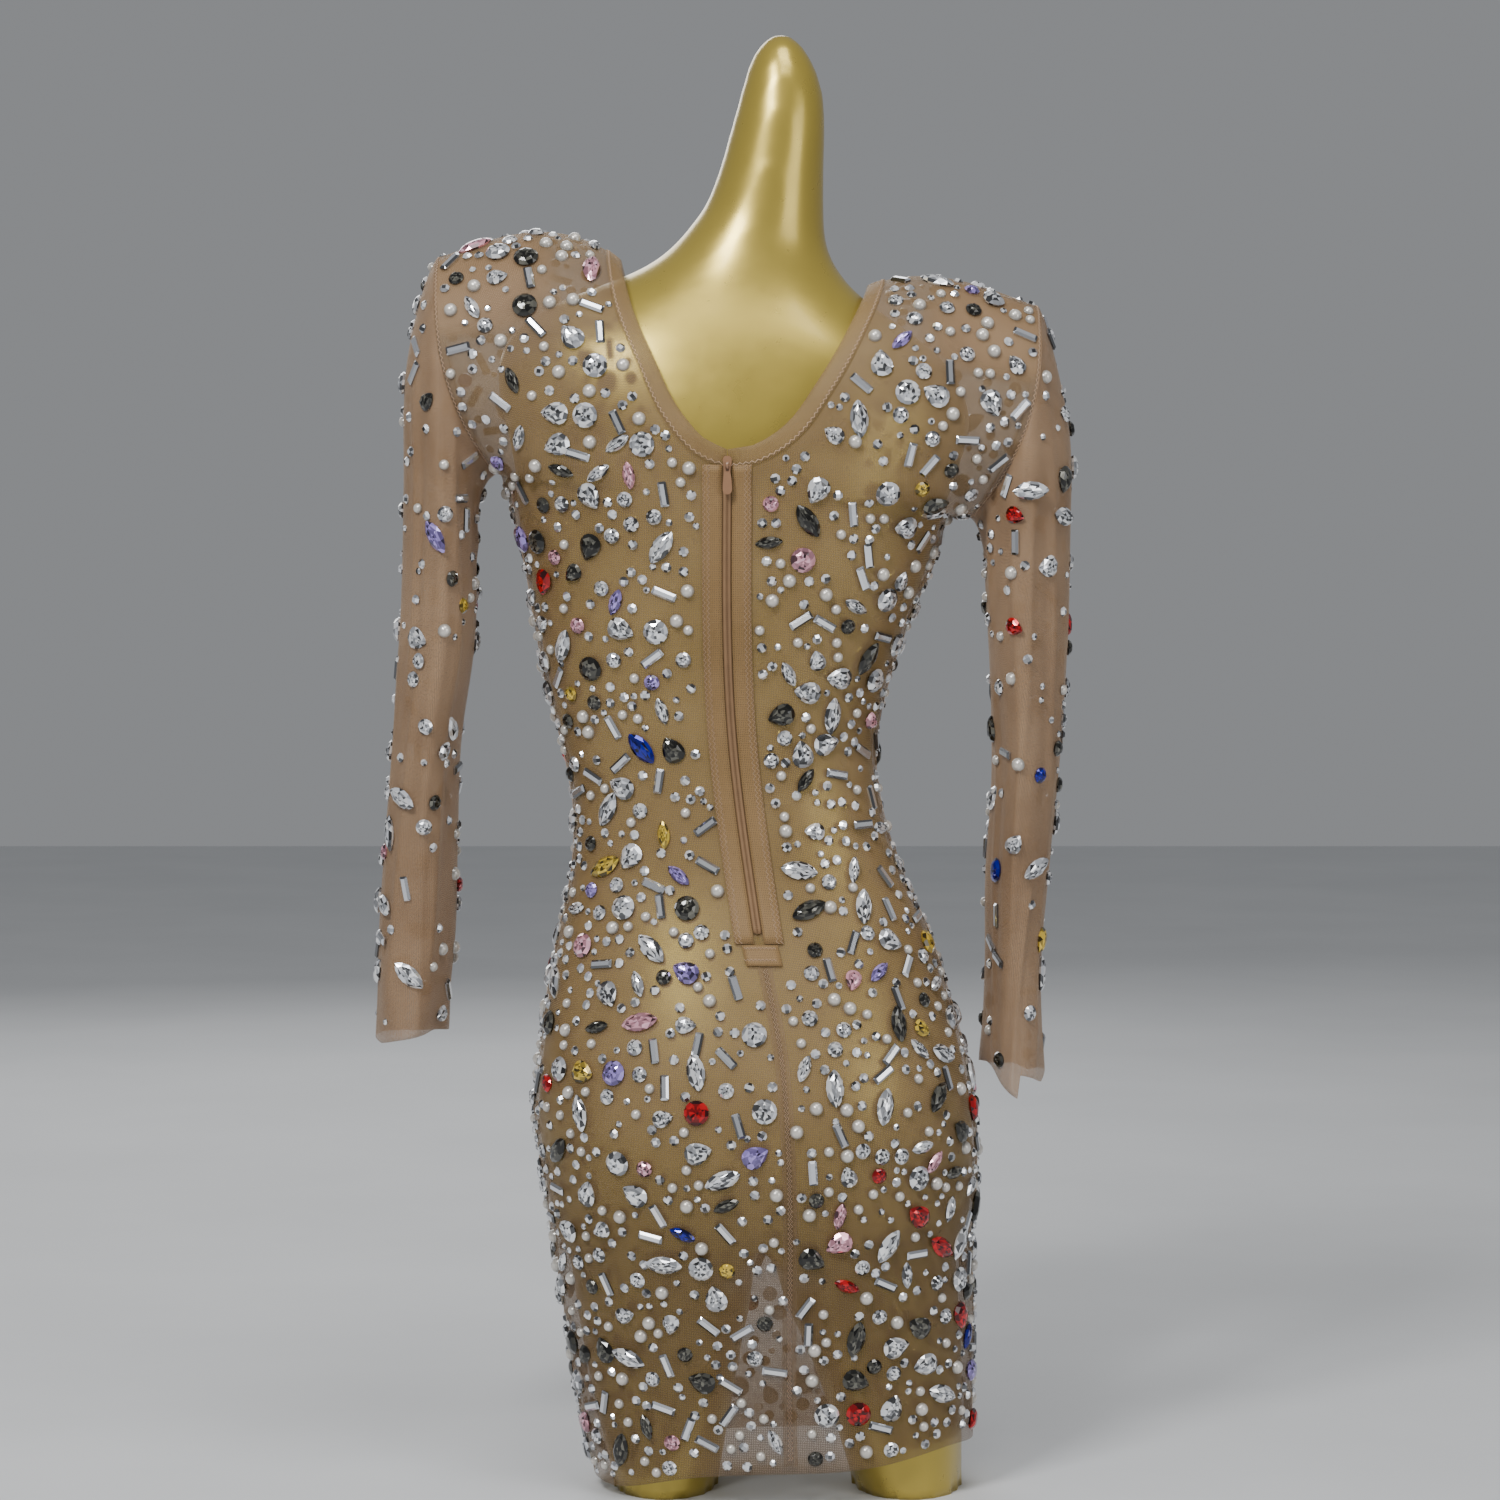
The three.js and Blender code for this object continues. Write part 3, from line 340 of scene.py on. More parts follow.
def armhole(side, face, turn):
    (tip_x, tip_z), (low_x, low_z) = SIDES[side]["tip"], SIDES[side]["underarm"]
    rise = (1 + math.cos(turn)) / 2
    return (
        mix(low_x, tip_x, 1 - (1 - rise) ** ARMHOLE_LEAN),
        ARMHOLE_MIDDLE + face * ARMHOLE_DEPTH[face] * abs(math.sin(turn)) ** ARMHOLE_ROUND,
        mix(low_z, tip_z, rise),
    )


def centre_angle(face, z):
    return angle_at_x(centre_back.x(z), z) if face > 0 else math.pi


def side_angle(side, face, across, z):
    sign = SIDES[side]["sign"]
    if face > 0:
        return mix(centre_angle(face, z), sign * math.pi / 2, across)
    return math.pi - sign * math.pi / 2 * across


def quarter_point(side, face, across, up):
    """A point of one quarter of the body: across from the centre line, up from the hem."""
    sides = SIDES[side]
    sign, (_, low_z) = sides["sign"], sides["underarm"]
    if up <= BODY_ROWS:
        hem = hem_height(side_angle(side, face, across, HEM["middle"]))
        z = mix(hem, mix(UNDERARM_CENTRE, low_z, across), up / BODY_ROWS)
        return section_point(side_angle(side, face, across, z), z)
    level = (up - BODY_ROWS) / ARM_ROWS
    outer = armhole(side, face, math.pi * (1 - level))
    neck = NECK_EDGES[side, face]
    low = NECK_LOW["back" if face > 0 else "front"]
    above = level * ARM_ROWS - NECK_ROW
    if above <= 0:
        inner_z = mix(UNDERARM_CENTRE, low, level * ARM_ROWS / NECK_ROW)
    else:
        turn = math.pi / 2 * (above / (ARM_ROWS - NECK_ROW)) ** NECK_EASE
        inner_z = mix(low, sides["neck"], math.sin(turn))
    ring_inner = section_point(centre_angle(face, UNDERARM_CENTRE), UNDERARM_CENTRE)
    if inner_z > low:
        inner_x, inner_y = neck.x(inner_z), neck.y(inner_z)
    else:
        inner_x = centre_back.x(inner_z) if face > 0 else 0
        climb = (inner_z - UNDERARM_CENTRE) / (low - UNDERARM_CENTRE)
        inner_y = mix(ring_inner[1], neck.y(low), smooth(climb))
    ring = section_point(side_angle(side, face, across, low_z), mix(UNDERARM_CENTRE, low_z, across))
    ring_outer = section_point(sign * math.pi / 2, low_z)
    round_x = (ring[0] - ring_inner[0]) / (ring_outer[0] - ring_inner[0])
    open_up = smooth(level * YOKE_OPENING)
    x = mix(inner_x, outer[0], mix(round_x, across, open_up))
    y = outer[1] + (inner_y - outer[1]) * mix(ring[1] / ring_inner[1], 1 - across**2, open_up)
    bow = sides["rise"] * math.sin(math.pi * across**BOW_LEAN) * smooth(level)
    return x, y, mix(inner_z, outer[2], across) + bow


# The panels: two backs and a front of sheer power mesh, stretched so tight that only a few soft
# drag lines show, at the waist and down the skirt. They are cut single and sewn edge to edge.
CLOTH = 0.0005
PANEL_COLUMNS = 40
ROWS_PER_CELL = 5
QUARTERS = {"left_back": ("left", 1), "right_back": ("right", 1),
            "left_front": ("left", -1), "right_front": ("right", -1)}
# Drag lines: face, start x and z, end x and z, half width, height, in millimetres.
DRAG_LINES = [
    (1, -66, 475, -98, 438, 3.4, 2.6), (1, -42, 512, -104, 455, 3.8, 2.4),
    (1, -50, 530, -90, 505, 3.2, 1.8), (1, -34, 486, -84, 430, 3.6, 1.9),
    (1, -72, 548, -100, 540, 3.0, 1.6), (1, 118, 470, 70, 448, 4.0, 1.2),
    (1, 120, 500, 80, 505, 3.4, 1.0), (1, 125, 440, 60, 402, 5.0, 1.1),
    (1, -150, 210, -146, 60, 5.0, 1.6), (1, -135, 190, -128, 52, 4.2, 1.2),
    (1, -118, 130, -116, 40, 3.6, 1.0), (1, 120, 180, 96, 40, 5.2, 1.3),
    (1, 66, 120, 58, 24, 4.4, 0.9), (1, 150, 700, 110, 650, 4.6, 1.8),
    (1, 158, 690, 132, 610, 3.8, 1.4), (1, -140, 668, -104, 622, 4.6, 1.8),
    (1, -146, 650, -124, 585, 3.6, 1.2), (1, 120, 600, 60, 585, 5.0, 0.8),
    (1, -60, 600, -100, 575, 4.6, 0.9), (-1, 60, 470, 108, 442, 4.0, 1.5),
    (-1, 40, 505, 110, 500, 4.4, 1.1), (-1, -50, 490, -92, 452, 4.0, 1.4),
    (-1, -40, 515, -88, 520, 3.6, 1.0), (-1, 146, 690, 108, 640, 4.6, 1.6),
    (-1, -134, 664, -96, 622, 4.6, 1.6), (-1, 110, 170, 98, 40, 4.8, 1.2),
    (-1, -130, 190, -126, 52, 4.8, 1.3), (-1, -40, 130, -46, 30, 4.2, 0.8),
]
DRAG_RUNOUT, DRAG_FADE = 0.4, 0.55  # shares of a line's length past its ends, and to fade over
# The raw hem curls out at the side seams: up to this height, and by this much on each side.
HEM_CURL = {"top": 0.06, "left": 0.002, "right": 0.008}


def drag(face, x, z):
    """How far the drag lines lift the cloth, in millimetres."""
    lift = 0
    for line_face, x0, z0, x1, z1, half, height in DRAG_LINES:
        if line_face != face:
            continue
        along = ((x - x0) * (x1 - x0) + (z - z0) * (z1 - z0)) / ((x1 - x0) ** 2 + (z1 - z0) ** 2)
        if not -DRAG_RUNOUT < along < 1 + DRAG_RUNOUT:
            continue
        reach = smooth(min(along + DRAG_RUNOUT, 1 + DRAG_RUNOUT - along) / DRAG_FADE)
        off = math.hypot(x - x0 - along * (x1 - x0), z - z0 - along * (z1 - z0))
        lift += height * reach * math.exp(-((off / half) ** 2))
    return lift


def unit(vectors):
    return vectors / np.maximum(np.linalg.norm(vectors, axis=-1, keepdims=True), 1e-12)


def grid_normals(points, outward):
    """Outward directions of a grid of points, one for each."""
    across = np.gradient(points, axis=1)
    up = np.gradient(points, axis=0)
    return unit(np.cross(across, up) * outward)


def quarter_grid(side, face):
    ups = [k / ROWS_PER_CELL for k in range((BODY_ROWS + ARM_ROWS) * ROWS_PER_CELL + 1)]
    rows = []
    for up in ups:
        row = [quarter_point(side, face, i / PANEL_COLUMNS, up) for i in range(PANEL_COLUMNS + 1)]
        rows.append([metres(*p) for p in row])
    points = np.array(rows)
    normals = grid_normals(points, -SIDES[side]["sign"] * face)
    lifts = np.array([[drag(face, p[0] * 1000 + ORIGIN[0], p[2] * 1000) for p in row] for row in points])
    lifts[:, 0] = lifts[:, -1] = lifts[0] = 0
    points = points + normals * lifts[:, :, None] / 1000
    low = np.clip((HEM_CURL["top"] - points[:, :, 2]) / HEM_CURL["top"], 0, 1) ** 2
    points[:, :, 0] += SIDES[side]["sign"] * HEM_CURL[side] * low * np.linspace(0, 1, PANEL_COLUMNS + 1) ** 6
    return points, normals


grids = {name: quarter_grid(*where) for name, where in QUARTERS.items()}


def laid_flat(points):
    """Each grid point's place on the cloth as it was cut, in metres along and across the knit."""
    across = np.linalg.norm(np.diff(points, axis=1), axis=2)
    along = np.linalg.norm(np.diff(points, axis=0), axis=2)
    u = np.concatenate([np.zeros((len(points), 1)), across.cumsum(axis=1)], axis=1)
    v = np.concatenate([np.zeros((1, points.shape[1])), along.cumsum(axis=0)], axis=0)
    return np.stack([u, v], axis=2)


def quads(rows, columns):
    """The four corners of each cell of a grid, as rows and columns."""
    for j in range(rows - 1):
        for i in range(columns - 1):
            yield [(j, i), (j, i + 1), (j + 1, i + 1), (j + 1, i)]


def sheet_mesh(name, parts):
    """A mesh of smooth quads over grids of points, each with +1 or -1 for the side that faces out."""
    body = bmesh.new()
    flat = body.loops.layers.uv.new("laid_flat")
    for points, outward in parts:
        places = laid_flat(points)
        verts = [[body.verts.new(p) for p in row] for row in points]
        for corners in quads(*points.shape[:2]):
            corners = corners[::outward]
            made = body.faces.new([verts[j][i] for j, i in corners])
            made.smooth = True
            for loop, (j, i) in zip(made.loops, corners):
                loop[flat].uv = places[j, i]
    bmesh.ops.remove_doubles(body, verts=body.verts, dist=2e-6)
    return mesh_of(body, name)


def thicken(piece, thickness, offset=-1.0):
    wall = piece.modifiers.new("wall", "SOLIDIFY")
    wall.thickness = thickness
    wall.offset = offset
    wall.use_even_offset = False


def knit_group():
    """The honeycomb knit of power mesh: Thread is 1 on a thread and 0 in a hole."""
    group, start, end = new_group("honeycomb_knit", "Cells per metre", 800, "Thread")
    place = place_node(group, "ShaderNodeUVMap", uv_map="laid_flat")
    cells = place_node(group, "ShaderNodeTexVoronoi", {"Randomness": 0.3}, feature="DISTANCE_TO_EDGE",
                       voronoi_dimensions="2D")
    thread = place_node(group, "ShaderNodeMapRange",
                        {"From Min": 0.1, "From Max": 0.26, "To Min": 1.0, "To Max": 0.0})
    group.links.new(place.outputs["UV"], cells.inputs["Vector"])
    group.links.new(start.outputs["Cells per metre"], cells.inputs["Scale"])
    group.links.new(cells.outputs["Distance"], thread.inputs["Value"])
    group.links.new(thread.outputs["Result"], end.inputs["Thread"])
    return group


honeycomb_knit = knit_group()

# Below the hips the mesh is stretched less, so between these heights its holes close up, and its colour is
# painted darker there as painted shade.
SHADE_AND_SLACK_START, SHADE_AND_SLACK_FULL = 0.31, 0.19
# The dark tone and its share are painted shade; the closing is how far the holes close up.
PAINTED_SHADE_TONE, PAINTED_SHADE_SHARE, SLACK_CLOSING = (0.18, 0.105, 0.045), 0.85, 0.05


def paint_shade_and_slacken(tree, tone, shader, alpha, hole, thread_alpha):
    # Painted shade below the hips: the colour is mixed towards a dark tone, and the holes close up as the
    # mesh is stretched less.
    place = place_node(tree, "ShaderNodeTexCoord")
    split = place_node(tree, "ShaderNodeSeparateXYZ")
    tree.links.new(place.outputs["Object"], split.inputs["Vector"])
    blend = place_node(tree, "ShaderNodeMix", data_type="RGBA")
    blend.inputs["B"].default_value = (*PAINTED_SHADE_TONE, 1)
    tree.links.new(tone, blend.inputs["A"])
    tree.links.new(blend.outputs["Result"], shader.inputs["Base Color"])
    targets = [
        (blend.inputs["Factor"], 0.0, PAINTED_SHADE_SHARE),
        (alpha.inputs["To Min"], hole, hole + SLACK_CLOSING),
        (alpha.inputs["To Max"], thread_alpha, thread_alpha + SLACK_CLOSING),
    ]
    for socket, above, below in targets:
        values = {"From Min": SHADE_AND_SLACK_START, "From Max": SHADE_AND_SLACK_FULL, "To Min": above, "To Max": below}
        step = place_node(tree, "ShaderNodeMapRange", values)
        tree.links.new(split.outputs["Z"], step.inputs["Value"])
        tree.links.new(step.outputs["Result"], socket)


def mesh_cloth(name, low, high, hole, thread_alpha, cells=800, shaded_and_slack=False):
    """Sheer mesh: hole is how much of the light its holes stop, thread_alpha the same for threads."""
    material, tree, shader = new_material(name)
    tone = tint_unevenly(tree, shader, 14, low, high)
    knit = place_node(tree, "ShaderNodeGroup", node_tree=honeycomb_knit)
    knit.inputs["Cells per metre"].default_value = cells
    alpha = place_node(tree, "ShaderNodeMapRange", {"To Min": hole, "To Max": thread_alpha})
    tree.links.new(knit.outputs["Thread"], alpha.inputs["Value"])
    tree.links.new(alpha.outputs["Result"], shader.inputs["Alpha"])
    bump = place_node(tree, "ShaderNodeBump", {"Strength": 0.25, "Distance": 0.0003})
    tree.links.new(knit.outputs["Thread"], bump.inputs["Height"])
    tree.links.new(bump.outputs["Normal"], shader.inputs["Normal"])
    # Painted shade and closing holes below the hips.
    if shaded_and_slack:
        paint_shade_and_slacken(tree, tone, shader, alpha, hole, thread_alpha)
    set_inputs(shader, Roughness=0.55, Sheen_Weight=0.25, Sheen_Roughness=0.4)
    set_inputs(shader, Sheen_Tint=(0.95, 0.8, 0.65, 1))
    return material


TAN_LOW, TAN_HIGH = (0.29, 0.18, 0.085), (0.38, 0.25, 0.13)
panel_cloth = mesh_cloth("panel_cloth", TAN_LOW, TAN_HIGH, 0.13, 0.48, shaded_and_slack=True)


def outward_of(name):
    side, face = QUARTERS[name]
    return -SIDES[side]["sign"] * face


def make_panel(name, quarters, node):
    parts = [(grids[q][0], outward_of(q)) for q in quarters]
    piece = add_mesh(name, sheet_mesh(name, parts), panel_cloth)
    thicken(piece, CLOTH)
    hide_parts(node)


make_panel("back_left_panel", ["left_back"], "back_left")
make_panel("back_right_panel", ["right_back"], "back_right")
make_panel("front_panel", ["left_front", "right_front"], "front")

# The sleeves: one tube of the same mesh each, set into the armholes. They hang empty, so long soft
# folds run down them, and they bunch a little under the arm and at the cuffs.
SLEEVE_COLUMNS = 64
SLEEVE_RINGS = 150
RING_EASE = 1.1  # a power that draws the rings closer near the shoulder
SLEEVES = {
    "left": Table(["down", "outer_x", "outer_z", "inner_x", "inner_z", "half_depth", "y"], [
        [0, 217, 872, 175, 721, 60, 3],
        [0.04, 231, 846, 181, 717, 62, 3],
        [0.08, 237, 818, 186, 711, 63, 3],
        [0.16, 239, 767, 189, 690, 62, 2],
        [0.25, 239.5, 712, 189.5, 665, 60, 1],
        [0.4, 243, 626, 191, 602, 56, -3],
        [0.55, 250, 540, 202, 530, 51, -8],
        [0.7, 257, 463, 206, 458, 46, -14],
        [0.85, 262.5, 394, 209, 393, 42, -20],
        [1, 265, 330, 216, 332, 39, -25],
    ]),
    "right": Table(["down", "outer_x", "outer_z", "inner_x", "inner_z", "half_depth", "y"], [
        [0, -207, 838, -159, 690, 60, 3],
        [0.04, -219, 812, -163, 687, 62, 3],
        [0.08, -224, 784, -166.5, 681, 63, 3],
        [0.16, -228.5, 735, -169, 660, 62, 2],
        [0.25, -228.5, 683, -170, 634, 60, 1],
        [0.4, -228, 600, -173.5, 574, 56, -3],
        [0.55, -224, 518, -175.5, 506, 51, -8],
        [0.7, -217.5, 440, -172.5, 435, 46, -14],
        [0.85, -212.5, 368, -173, 368, 42, -20],
        [1, -215, 300, -171, 304, 39, -25],
    ]),
}
# Folds: round (0 outer edge, 0.25 back, 0.5 inner), drift round over the length, start and end
# down the sleeve, half width round, height in millimetres.
SLEEVE_FOLDS = {
    "left": [
        (0.13, 0.02, 0.05, 0.55, 0.018, 3.0), (0.21, -0.05, 0.12, 0.98, 0.02, 2.6),
        (0.31, 0.06, 0.02, 0.5, 0.016, 3.2), (0.37, -0.04, 0.3, 0.97, 0.02, 2.6),
        (0.43, 0.05, 0.0, 0.3, 0.014, 3.4), (0.06, 0.04, 0.35, 0.95, 0.018, 2.2),
        (0.6, 0.05, 0.03, 0.6, 0.02, 2.8), (0.7, -0.06, 0.1, 0.9, 0.02, 2.6),
        (0.83, 0.05, 0.2, 0.97, 0.018, 2.6), (0.92, -0.03, 0.05, 0.5, 0.018, 2.4),
        (0.27, 0.03, 0.6, 1.0, 0.016, 2.0),
    ],
    "right": [
        (0.16, -0.03, 0.04, 0.7, 0.018, 2.8), (0.24, 0.05, 0.1, 0.6, 0.018, 3.0),
        (0.33, -0.05, 0.03, 0.9, 0.018, 2.8), (0.4, 0.04, 0.0, 0.35, 0.014, 3.4),
        (0.45, -0.05, 0.4, 1.0, 0.018, 2.8), (0.09, 0.05, 0.4, 1.0, 0.02, 2.6),
        (0.62, 0.04, 0.02, 0.5, 0.018, 2.8), (0.72, -0.04, 0.2, 0.95, 0.02, 2.6),
        (0.85, 0.04, 0.08, 0.8, 0.02, 2.6), (0.2, 0.08, 0.72, 1.0, 0.02, 3.2),
    ],
}
FOLD_TROUGH, FOLD_SPREAD = 0.45, 2.4  # depth and width of the dip round a fold, as shares of it
FOLD_END_KEPT = 0.6  # how much of a fold is left where it runs out at the cuff
# Slow waves of the tube's girth: height as a share, waves round it, waves down it.
GIRTH_WAVES = [(0.05, 3, 4), (0.035, 5, -3)]
# Shares of the sleeve over which it leaves the armhole and its folds start, and how fast its girth
# starts to wave.
ARMHOLE_REACH, FOLD_REACH, GIRTH_RISE = 0.14, 0.05, 5
CUFF_WAVE = {"height": 1.6, "start": 0.93, "length": 0.07, "waves": 4}
# How far the raw edge of each cuff hangs below an even one: round the sleeve, in millimetres. The
# right one is torn to a point beside a notch.
CUFF_START = 0.92
CUFF_HANG = {
    "left": [(0, 12), (0.1, 14.5), (0.2, 12), (0.3, 9.5), (0.42, 7), (0.5, 9), (0.62, 12),
             (0.75, 13.5), (0.9, 11)],
    "right": [(0, 6), (0.08, 13), (0.16, 9), (0.234, 7), (0.25, 24), (0.29, 20), (0.343, 14),
              (0.42, 5), (0.46, 2), (0.55, 5), (0.66, 9), (0.75, 8), (0.84, 11), (0.92, 7)],
}


def sleeve_point(side, around, down):
    s = SLEEVES[side]
    turn = around * 2 * math.pi
    face = 1 if math.sin(turn) >= 0 else -1
    outer = Vector((s.outer_x(down), s.y(down), s.outer_z(down)))
    inner = Vector((s.inner_x(down), s.y(down), s.inner_z(down)))
    waves = sum(height * math.sin(n * turn + m * down) for height, n, m in GIRTH_WAVES)
    fold = 1 + smooth(down * GIRTH_RISE) * waves
    middle = (outer + inner) / 2
    ring = middle + (outer - middle) * math.cos(turn) * fold
    ring.y += s.half_depth(down) * math.sin(turn) * fold
    half = turn if face > 0 else 2 * math.pi - turn
    return ring.lerp(Vector(armhole(side, face, half)), 1 - smooth(down / ARMHOLE_REACH))


def sleeve_fold(side, around, down):
    """Height of the folds, less a share all over so that the tube keeps its girth."""
    lift = 0
    for middle, drift, start, end, half, height in SLEEVE_FOLDS[side]:
        if not start < down < end:
            continue
        along = (down - start) / (end - start)
        reach = smooth(min(along, 1 - along) * 4 + (FOLD_END_KEPT if end >= 0.99 else 0))
        off = (around - middle - drift * along + 0.5) % 1 - 0.5
        trough = FOLD_TROUGH * math.exp(-((off / half / FOLD_SPREAD) ** 2))
        lift += height * reach * (math.exp(-((off / half) ** 2)) - trough)
    cuff = CUFF_WAVE["height"] * smooth((down - CUFF_WAVE["start"]) / CUFF_WAVE["length"])
    cuff *= math.sin(around * 2 * math.pi * CUFF_WAVE["waves"] + 1)
    return lift * smooth(down / FOLD_REACH) + cuff


def sleeve_grid(side):
    downs = [(j / SLEEVE_RINGS) ** RING_EASE for j in range(SLEEVE_RINGS + 1)]
    arounds = [i / SLEEVE_COLUMNS for i in range(SLEEVE_COLUMNS)]
    points = np.array([[metres(*sleeve_point(side, a, down)) for a in arounds] for down in downs])
    hang = np.interp(arounds, *zip(*CUFF_HANG[side]), period=1)
    for ring, down in zip(points, downs):
        ring[:, 2] -= hang / 1000 * smooth((down - CUFF_START) / (1 - CUFF_START))
    wrapped = np.concatenate([points[:, -1:], points, points[:, :1]], axis=1)
    normals = grid_normals(wrapped, -SIDES[side]["sign"])[:, 1:-1]
    lifts = np.array([[sleeve_fold(side, a, down) for a in arounds] for down in downs])
    return points + normals * lifts[:, :, None] / 1000, normals


sleeve_grids = {side: sleeve_grid(side) for side in SIDES}
sleeve_cloth = mesh_cloth("sleeve_cloth", (0.31, 0.185, 0.095), (0.43, 0.275, 0.155), 0.3, 0.7, 760)


for side in SIDES:
    points, _ = sleeve_grids[side]
    name = f"{side}_sleeve"
    outward = -SIDES[side]["sign"]
    closed = np.concatenate([points, points[:, :1]], axis=1)
    piece = add_mesh(name, sheet_mesh(name, [(closed, outward)]), sleeve_cloth)
    thicken(piece, CLOTH)
    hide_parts(f"sleeve_{side}")

# The shoulder pads: a crescent of thin foam tacked under each shoulder seam, bevelled to nothing
# towards the neck, that squares the shoulder and shows through the mesh as a warmer zone.
PAD_CLEARANCE = 0.00205
PAD_RIM = 0.0012
PAD_LOFT = 0.009
PAD_FIRST_CELL = 3
PAD_CELL_ROWS = 3
PAD_START = 0.6  # how full the pad is at its neck end, in cells


def pad_foam():
    material, tree, shader = new_material("pad_foam")
    tint_unevenly(tree, shader, 40, (0.36, 0.215, 0.12), (0.42, 0.265, 0.155))
    edge = place_node(tree, "ShaderNodeAttribute", attribute_name="bevel")
    fade = place_node(tree, "ShaderNodeMapRange", {"From Max": 0.45, "To Min": 0.0, "To Max": 0.9})
    tree.links.new(edge.outputs["Fac"], fade.inputs["Value"])
    tree.links.new(fade.outputs["Result"], shader.inputs["Alpha"])
    set_inputs(shader, Roughness=0.85)
    return material


foam = pad_foam()


def make_pad(side):
    top = (BODY_ROWS + ARM_ROWS) * ROWS_PER_CELL
    reach = PAD_CELL_ROWS * ROWS_PER_CELL
    first = PAD_FIRST_CELL * PANEL_COLUMNS // COLUMNS
    back, front = grids[f"{side}_back"], grids[f"{side}_front"]
    points, normals = (
        np.concatenate([b[top - reach:top + 1, first:], f[top - reach:top, first:][::-1]])
        for b, f in zip(back, front)
    )
    normals[reach] = normals[reach - 1] + normals[reach + 1]
    normals = unit(normals)
    rows, columns = points.shape[:2]
    edge = 1 - (np.arange(-reach, reach + 1) / reach) ** 2
    cells = [c / (PANEL_COLUMNS // COLUMNS) + PAD_START for c in range(columns)]
    loft = edge[:, None] * np.array([smooth(c / (COLUMNS - PAD_FIRST_CELL)) for c in cells])[None]
    outside = points - normals * PAD_CLEARANCE
    inside = outside - normals * (PAD_RIM + PAD_LOFT * loft)[:, :, None]
    body = bmesh.new()
    bevel = body.verts.layers.float.new("bevel")
    layers = []
    for layer in (outside, inside):
        verts = [[body.verts.new(p) for p in row] for row in layer]
        for j, row in enumerate(verts):
            for i, v in enumerate(row):
                v[bevel] = min(loft[j, i] * 2, 1)
        layers.append(verts)
    for verts, turn in zip(layers, (1, -1)):
        for corners in quads(rows, columns):
            body.faces.new([verts[j][i] for j, i in corners[::turn]])
    rim = [(0, i) for i in range(columns)] + [(j, columns - 1) for j in range(1, rows)]
    rim += [(rows - 1, i) for i in range(columns - 2, -1, -1)] + [(j, 0) for j in range(rows - 2, 0, -1)]
    for (j, i), (b, a) in zip(rim, rim[1:] + rim[:1]):
        body.faces.new([layers[1][j][i], layers[1][b][a], layers[0][b][a], layers[0][j][i]])
    bmesh.ops.recalc_face_normals(body, faces=body.faces)
    for f in body.faces:
        f.smooth = True
    name = f"{side}_shoulder_pad"
    piece = add_mesh(name, mesh_of(body, name), foam)
    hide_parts(f"shoulder_pad_{side}")


make_pad("left")
make_pad("right")

# The neck bands: the same mesh folded over the raw neck edge, a strip 13 mm wide on the two backs
# and the front, held by one row of zigzag near its lower edge.
BAND_WIDTH = 0.013
BAND_LIFT = 0.0005
STRIP_CLOTH = 0.0008
FIRST_NECK_ROW = (BODY_ROWS + NECK_ROW) * ROWS_PER_CELL


def cloth_tree():
    verts, faces = [], []
    for name, (points, _) in grids.items():
        start = len(verts)
        rows, columns = points.shape[:2]
        verts += [Vector(p) for row in points for p in row]
        for corners in quads(rows, columns):
            faces.append([start + j * columns + i for j, i in corners[::outward_of(name)]])
    return BVHTree.FromPolygons(verts, faces)


panel_tree = cloth_tree()


def on_cloth(point, lift):
    spot, normal, _, _ = panel_tree.find_nearest(Vector(point))
    return spot + normal * lift, normal


def strip_grid(path, sideways, near, far, lift, steps=4):
    """Points of a strip on the cloth, beside a path, from near to far off it."""
    return np.array([
        [on_cloth(p + d * mix(near, far, k / steps), lift)[0] for k in range(steps + 1)]
        for p, d in zip(path, sideways)
    ])


def neck_path(name):
    """The neck edge of a quarter and, at each point, the direction into the panel beside it."""
    points = grids[name][0][FIRST_NECK_ROW:]
    edge = [Vector(p) for p in points[:, 0]]
    inward = []
    for j, p in enumerate(edge):
        along = edge[min(j + 1, len(edge) - 1)] - edge[max(j - 1, 0)]
        into = Vector(points[j, 3]) - p
        into -= along * into.dot(along) / along.length_squared
        inward.append(into.normalized())
    inward[0] = Vector((0, 0, -1))
    return edge, inward


doubled_cloth = mesh_cloth("doubled_cloth", (0.27, 0.16, 0.058), (0.34, 0.205, 0.085), 0.5, 0.85)
band_cloth = mesh_cloth("band_cloth", (0.30, 0.185, 0.075), (0.38, 0.245, 0.11), 0.2, 0.52)


def make_strip(name, points, material, node):
    """A flat strip that lies on the cloth, with its outer side away from the form."""
    middle = points[len(points) // 2]
    across = middle[-1] - middle[0]
    along = points[len(points) // 2 + 1][0] - middle[0]
    out = on_cloth(middle[len(middle) // 2], 0)[1]
    outward = 1 if np.cross(across, along) @ np.array(out) > 0 else -1
    piece = add_mesh(name, sheet_mesh(name, [(points, outward)]), material)
    thicken(piece, STRIP_CLOTH, offset=1.0)
    if node:
        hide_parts(node)


NECK_BANDS = {"left_back": "neck_band_left", "right_back": "neck_band_right",
              "left_front": "neck_band_front_left", "right_front": "neck_band_front_right"}
for quarter, node in NECK_BANDS.items():
    band = strip_grid(*neck_path(quarter), 0, BAND_WIDTH, BAND_LIFT)
    make_strip(f"{quarter}_neck_band", band, band_cloth, node)

# The zip at the centre back: a concealed nylon zip between two doubled strips of mesh, closed, with
# a small tan slider at the neck and a patch sewn over its lower end.
ZIP_TOP, ZIP_BOTTOM, COIL_BOTTOM = 731, 395, 402
FACING_NEAR, FACING_FAR = 0.0033, 0.017
PATCH = {"top": 394, "bottom": 380, "half_width": 0.0125, "lift": 0.0006}
COIL_PITCH = 0.0014
COIL_RADIUS = 0.00028
TAPE_THICKNESS = 0.0003
